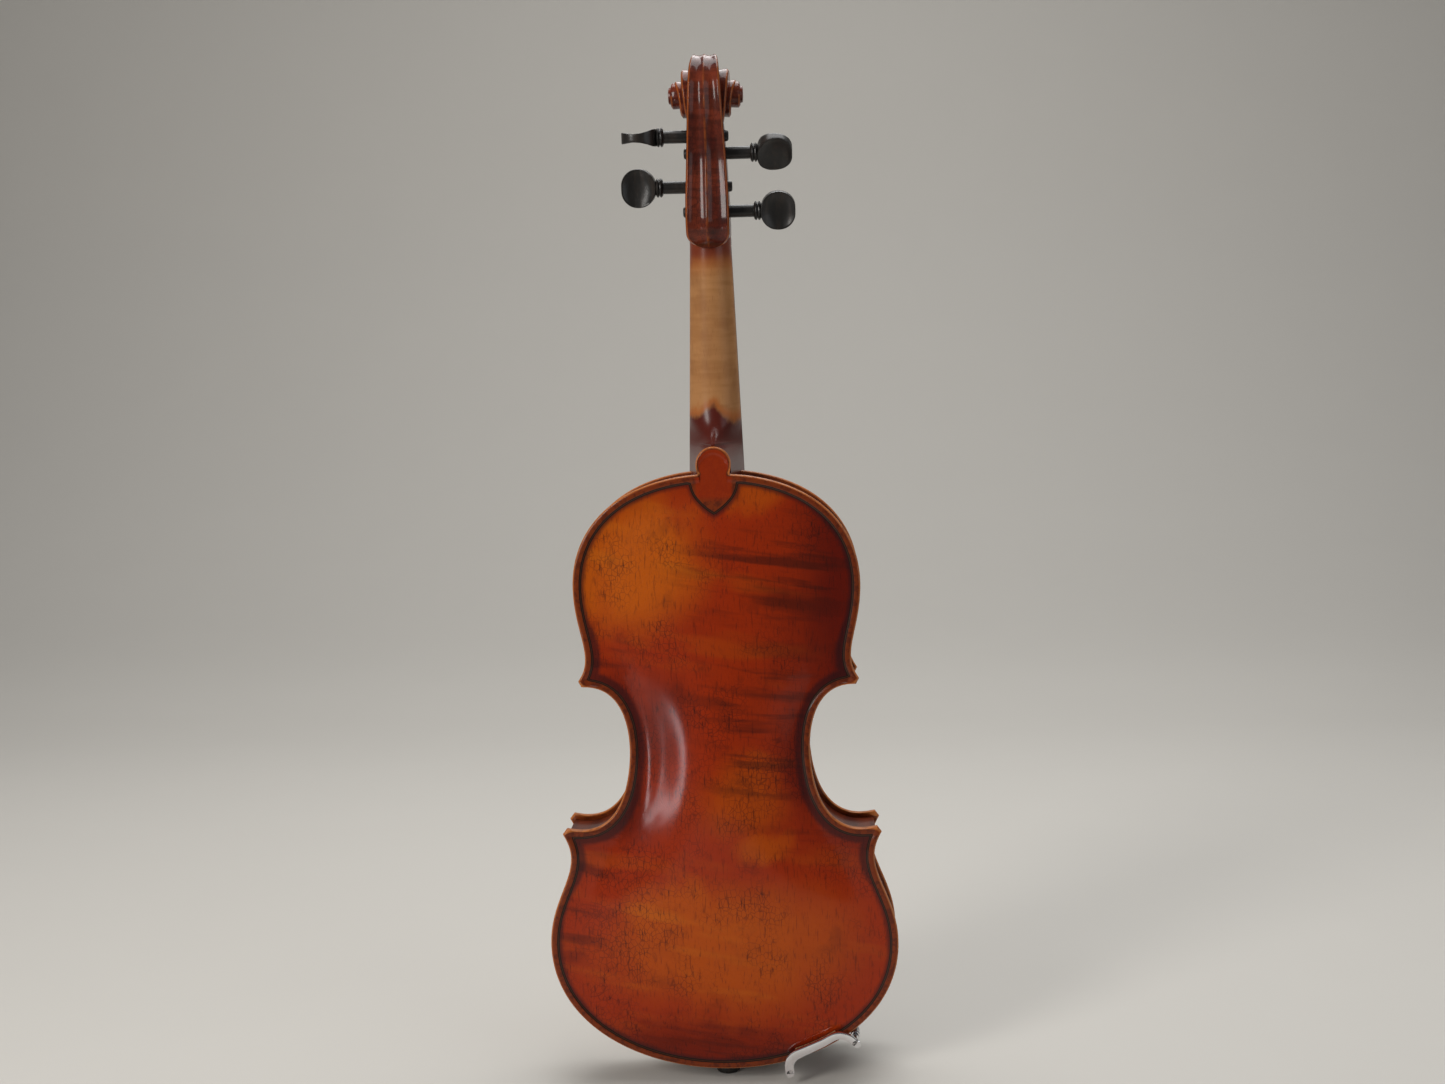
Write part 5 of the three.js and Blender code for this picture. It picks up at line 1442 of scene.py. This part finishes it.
class ViolinColours(bpy.types.PropertyGroup):
    varnish_gold: colour_of("Golden varnish", "Where the varnish is thin over bare maple",
                            (0.44, 0.082, 0.001))
    varnish_bright: colour_of("Bright flames", "Flames that shine through the varnish", (0.50, 0.125, 0.004))
    varnish_middle: colour_of("Orange-red varnish", "The middle of the back", (0.275, 0.021, 0.001))
    # Thick crimson varnish, also used as painted shade over the back's right side.
    crimson_varnish_and_shade: colour_of("Crimson varnish", "The thick varnish of the bass side", (0.088, 0.004, 0.001))
    varnish_shadow: colour_of("Varnish shadow", "Flames, pores, cracks and rubbed-in dirt",
                              (0.018, 0.0045, 0.0025))
    edge_dirt: colour_of("Edge dirt", "The dark band inside the purfling", (0.016, 0.004, 0.005))
    edge_varnish: colour_of("Edge varnish", "The band between purfling and rim", (0.15, 0.026, 0.005))
    worn_rim: colour_of("Worn rim", "Bare wood along the outermost edge", (0.42, 0.13, 0.03))
    purfling_black: colour_of("Purfling black", "The outer strips of the purfling", (0.010, 0.006, 0.005))
    purfling_white: colour_of("Purfling white", "The middle strip of the purfling", (0.10, 0.03, 0.008))
    rib_light: colour_of("Rib varnish", "The lighter flames of the ribs", (0.12, 0.020, 0.005))
    rib_dark: colour_of("Rib flames", "The darker flames of the ribs", (0.042, 0.007, 0.003))
    top_gold: colour_of("Top gold", "The top's thin varnish", (0.42, 0.12, 0.012))
    top_red: colour_of("Top red", "The top's thick varnish", (0.22, 0.036, 0.006))
    top_worn: colour_of("Top wear", "Rubbed spruce round the bridge", (0.46, 0.20, 0.05))
    top_grain: colour_of("Top grain", "The winter lines of the spruce", (0.13, 0.035, 0.008))
    head_red: colour_of("Head varnish", "The lighter parts of the head", (0.165, 0.028, 0.011))
    head_dark: colour_of("Head shadow", "The darker parts of the head", (0.066, 0.010, 0.006))
    # Rubbed gold of the chamfers, also used as a painted highlight along the head's ridge.
    rubbed_gold_and_ridge_highlight: colour_of("Chamfer gold", "The rubbed edges of the head", (0.34, 0.085, 0.014))
    neck_bare: colour_of("Bare neck", "Oiled maple of the handle", (0.42, 0.20, 0.075))
    neck_flame: colour_of("Neck flames", "Darker flames of the handle", (0.30, 0.125, 0.04))
    neck_dark: colour_of("Neck pores", "Pores and handled patches", (0.20, 0.08, 0.03))
    neck_stain: colour_of("Neck stain", "Where varnish thins out on the handle", (0.34, 0.085, 0.014))
    heel_red: colour_of("Heel varnish", "The glossy heel", (0.085, 0.011, 0.006))
    ebony: colour_of("Ebony", "Fittings", (0.010, 0.009, 0.008))
    ebony_streak: colour_of("Ebony streaks", "Brown streaks in the ebony", (0.032, 0.022, 0.016))
    chrome: colour_of("Chrome", "Clamp and fine tuner", (0.86, 0.86, 0.88))
    chrome_dull: colour_of("Dull chrome", "Handled patches of the chrome", (0.62, 0.60, 0.58))
    string_steel: colour_of("String winding", "Crests of the windings", (0.62, 0.61, 0.59))
    # Painted shade in the grooves between the turns of a winding.
    winding_gap_shade: colour_of("Winding gaps", "Between the turns of a winding", (0.20, 0.19, 0.18))
    silk: colour_of("Silk", "Thread round the strings' lower ends", (0.22, 0.03, 0.05))
    silk_dark: colour_of("Silk shadow", "Between the turns of thread", (0.05, 0.008, 0.012))
    bridge_maple: colour_of("Bridge", "The bridge's maple", (0.60, 0.38, 0.17))
    bridge_grain: colour_of("Bridge flecks", "Rays and grain of pale maple", (0.34, 0.17, 0.06))
    cork: colour_of("Cork", "Light grains", (0.42, 0.24, 0.11))
    cork_dark: colour_of("Cork specks", "Dark grains", (0.13, 0.06, 0.025))
    willow: colour_of("Willow", "Blocks and linings", (0.62, 0.47, 0.28))
    inner_spruce: colour_of("Inner spruce", "Bass bar and sound post", (0.66, 0.50, 0.28))
    backdrop: colour_of("Backdrop", "Floor and wall", (0.56, 0.54, 0.50))
    backdrop_shade: colour_of("Backdrop shade", "Faint unevenness of the floor", (0.46, 0.44, 0.41))


class StageSettings(bpy.types.PropertyGroup):
    camera_place: bpy.props.FloatVectorProperty(name="Camera", description="Where the camera stands",
                                                unit="LENGTH",
                                                size=3, default=(0.0502, -1.0, 0.4404))
    camera_turn: bpy.props.FloatVectorProperty(name="Camera turn", description="Yaw, pitch and roll",
                                               unit="ROTATION",
                                               size=3,
                                               default=tuple(math.radians(a) for a in (-2.67, -6.69, -1.29)))
    lens: bpy.props.FloatProperty(name="Lens", description="Focal length in millimetres", default=42.83)
    key_power: bpy.props.FloatProperty(name="Key light", description="The large soft light at the left",
                                       unit="POWER",
                                       default=21)
    fill_power: bpy.props.FloatProperty(name="Fill light", description="The light that opens the right side",
                                        unit="POWER", default=6.5)
    top_power: bpy.props.FloatProperty(name="Top light", description="The light above the head", unit="POWER",
                                       default=24)
    window_power: bpy.props.FloatProperty(name="Window",
                                          description="The small bright patch that the varnish mirrors",
                                          unit="POWER", default=0.12)


# ---- The stage ----

def add_light(name, spot, target, size, power, colour=(1, 1, 1)):
    light = bpy.data.lights.new(name, "AREA")
    light.shape, light.size, light.size_y = "RECTANGLE", size[0], size[1]
    light.energy, light.color = power, colour
    lamp = bpy.data.objects.new(name, light)
    bpy.context.scene.collection.objects.link(lamp)
    lamp.location = spot
    lamp.visible_camera = False
    lamp.rotation_euler = (Vector(target) - Vector(spot)).to_track_quat("-Z", "Y").to_euler()


def build_stage(colours, stage):
    bm = bmesh.new()
    rows = rounded([(-0.6, 0), (0.6, 0), (1.15, 0), (1.6, 0.12), (1.95, 0.5), (2.05, 1.1), (2.05, 3.2)], 8)
    carry(bm, [[(x, y, z) for y, z in rows] for x in (-3.5, 3.5)], closed=False)
    mesh = mesh_of(bm, "cove", merge=1e-5)
    cove = bpy.data.objects.new("studio_cove", mesh)
    bpy.context.scene.collection.objects.link(cove)
    mesh.materials.append(backdrop_finish(colours))
    mesh.shade_smooth()
    add_light("key_softbox", (-1.15, -1.25, 0.85), (0, 0, 0.28), (0.5, 1.1), stage.key_power,
              (1.0, 0.97, 0.93))
    add_light("fill_softbox", (1.6, -1.0, 0.7), (0, 0, 0.3), (1.4, 1.4), stage.fill_power, (0.93, 0.96, 1.0))
    add_light("window", (-0.465, -0.56, 0.055), (-0.035, -0.025, 0.214), (0.03, 0.075), stage.window_power,
              (1.0, 0.92, 0.95))
    add_light("top_softbox", (0.1, 0.4, 1.75), (0, 0.3, 0), (1.4, 1.4), stage.top_power)
    add_light("front_softbox", (0.2, 1.6, 1.9), (0.2, 0, 1.9), (1.4, 0.8), stage.top_power * 0.4)
    world = bpy.data.worlds.new("studio_air")
    world.use_nodes = True
    world.node_tree.nodes["Background"].inputs["Color"].default_value = (0.86, 0.86, 0.88, 1)
    world.node_tree.nodes["Background"].inputs["Strength"].default_value = 0.15
    bpy.context.scene.world = world
    yaw, pitch, roll = stage.camera_turn
    forward = Vector((math.sin(yaw) * math.cos(pitch), math.cos(yaw) * math.cos(pitch), math.sin(pitch)))
    right = Vector((math.cos(yaw), -math.sin(yaw), 0))
    up = right.cross(forward)
    right, up = right * math.cos(roll) + up * math.sin(roll), up * math.cos(roll) - right * math.sin(roll)
    camera = bpy.data.objects.new("camera", bpy.data.cameras.new("camera"))
    camera.data.lens, camera.data.sensor_width = stage.lens, 36
    camera.data.clip_start = 0.02
    camera_axes = Matrix((right, up, -forward)).transposed().to_4x4()
    camera.matrix_world = Matrix.Translation(stage.camera_place) @ camera_axes
    bpy.context.scene.collection.objects.link(camera)
    bpy.context.scene.camera = camera
    bpy.context.scene.view_settings.view_transform = "Standard"


# ---- Operators and panel ----

class StageOperator(bpy.types.Operator):
    """Set the floor, backdrop, lights and camera"""
    bl_idname = "violin.stage"
    bl_label = "Studio stage"

    def execute(self, context):
        build_stage(context.scene.violin_colours, context.scene.violin_stage)
        return {"FINISHED"}


class BackAndTopOperator(bpy.types.Operator):
    """Build the arched back and top with their purfling and sound holes"""
    bl_idname = "violin.plates"
    bl_label = "Back and top"

    def execute(self, context):
        build_plates(context.scene.violin_colours)
        return {"FINISHED"}


class RibsOperator(bpy.types.Operator):
    """Build the six bent ribs"""
    bl_idname = "violin.ribs"
    bl_label = "Ribs"

    def execute(self, context):
        build_ribs(context.scene.violin_colours)
        return {"FINISHED"}


class InnerWoodOperator(bpy.types.Operator):
    """Finish the blocks, linings, bass bar and sound post"""
    bl_idname = "violin.inner_wood"
    bl_label = "Inner wood"

    def execute(self, context):
        build_inner_wood(context.scene.violin_colours)
        return {"FINISHED"}


class NeckOperator(bpy.types.Operator):
    """Build the neck with its heel, pegbox and scroll"""
    bl_idname = "violin.neck"
    bl_label = "Neck and head"

    def execute(self, context):
        build_neck(context.scene.violin_colours)
        return {"FINISHED"}


class FingerboardOperator(bpy.types.Operator):
    """Build the fingerboard and the nut"""
    bl_idname = "violin.fingerboard"
    bl_label = "Fingerboard and nut"

    def execute(self, context):
        build_fingerboard(context.scene.violin_colours)
        return {"FINISHED"}


class PegsOperator(bpy.types.Operator):
    """Build the four pegs and the turns of string on them"""
    bl_idname = "violin.pegs"
    bl_label = "Pegs"

    def execute(self, context):
        build_pegs(context.scene.violin_colours)
        return {"FINISHED"}


class BridgeOperator(bpy.types.Operator):
    """Build the bridge"""
    bl_idname = "violin.bridge"
    bl_label = "Bridge"

    def execute(self, context):
        build_bridge(context.scene.violin_colours)
        return {"FINISHED"}


class StringsOperator(bpy.types.Operator):
    """Build the four strings and the thread round their lower ends"""
    bl_idname = "violin.strings"
    bl_label = "Strings"

    def execute(self, context):
        build_strings(context.scene.violin_colours)
        return {"FINISHED"}


class TailpieceOperator(bpy.types.Operator):
    """Build the tailpiece, its ridge and cord, the saddle and the end pin"""
    bl_idname = "violin.tailpiece"
    bl_label = "Tailpiece and end pin"

    def execute(self, context):
        build_tailpiece(context.scene.violin_colours)
        return {"FINISHED"}


class FineTunerOperator(bpy.types.Operator):
    """Build the fine tuner's thumbscrew and finish its frame, pin and lever"""
    bl_idname = "violin.fine_tuner"
    bl_label = "Fine tuner"

    def execute(self, context):
        build_fine_tuner(context.scene.violin_colours)
        return {"FINISHED"}


class ChinRestOperator(bpy.types.Operator):
    """Build the chin rest's cup"""
    bl_idname = "violin.chin_rest"
    bl_label = "Chin rest"

    def execute(self, context):
        build_chin_rest(context.scene.violin_colours)
        return {"FINISHED"}


class ClampOperator(bpy.types.Operator):
    """Build the chin rest's clamp, its turnbuckles and corks"""
    bl_idname = "violin.clamp"
    bl_label = "Chin rest clamp"

    def execute(self, context):
        build_clamp(context.scene.violin_colours)
        return {"FINISHED"}


class ViolinPanel(bpy.types.Panel):
    """The violin's pieces, colours and stage"""
    bl_idname = "VIOLIN_PT_pieces"
    bl_label = "Antiqued violin"
    bl_space_type = "VIEW_3D"
    bl_region_type = "UI"
    bl_category = "Violin"

    def draw(self, context):
        column = self.layout.column()
        for operator in OPERATORS:
            column.operator(operator.bl_idname)
        for settings in (context.scene.violin_stage, context.scene.violin_colours):
            for key in settings.bl_rna.properties.keys():
                if key not in ("rna_type", "name"):
                    column.prop(settings, key)


OPERATORS = (StageOperator, BackAndTopOperator, RibsOperator, InnerWoodOperator, NeckOperator,
             FingerboardOperator, PegsOperator, BridgeOperator, StringsOperator, TailpieceOperator,
             FineTunerOperator, ChinRestOperator, ClampOperator)
CLASSES = (ViolinColours, StageSettings, *OPERATORS, ViolinPanel)


def register():
    for made in CLASSES:
        bpy.utils.register_class(made)
    bpy.types.Scene.violin_colours = bpy.props.PointerProperty(type=ViolinColours)
    bpy.types.Scene.violin_stage = bpy.props.PointerProperty(type=StageSettings)


def unregister():
    del bpy.types.Scene.violin_stage
    del bpy.types.Scene.violin_colours
    for made in reversed(CLASSES):
        bpy.utils.unregister_class(made)


def main():
    register()
    for operator in OPERATORS:
        group, name = operator.bl_idname.split(".")
        getattr(getattr(bpy.ops, group), name)()


if __name__ == "__main__":
    main()
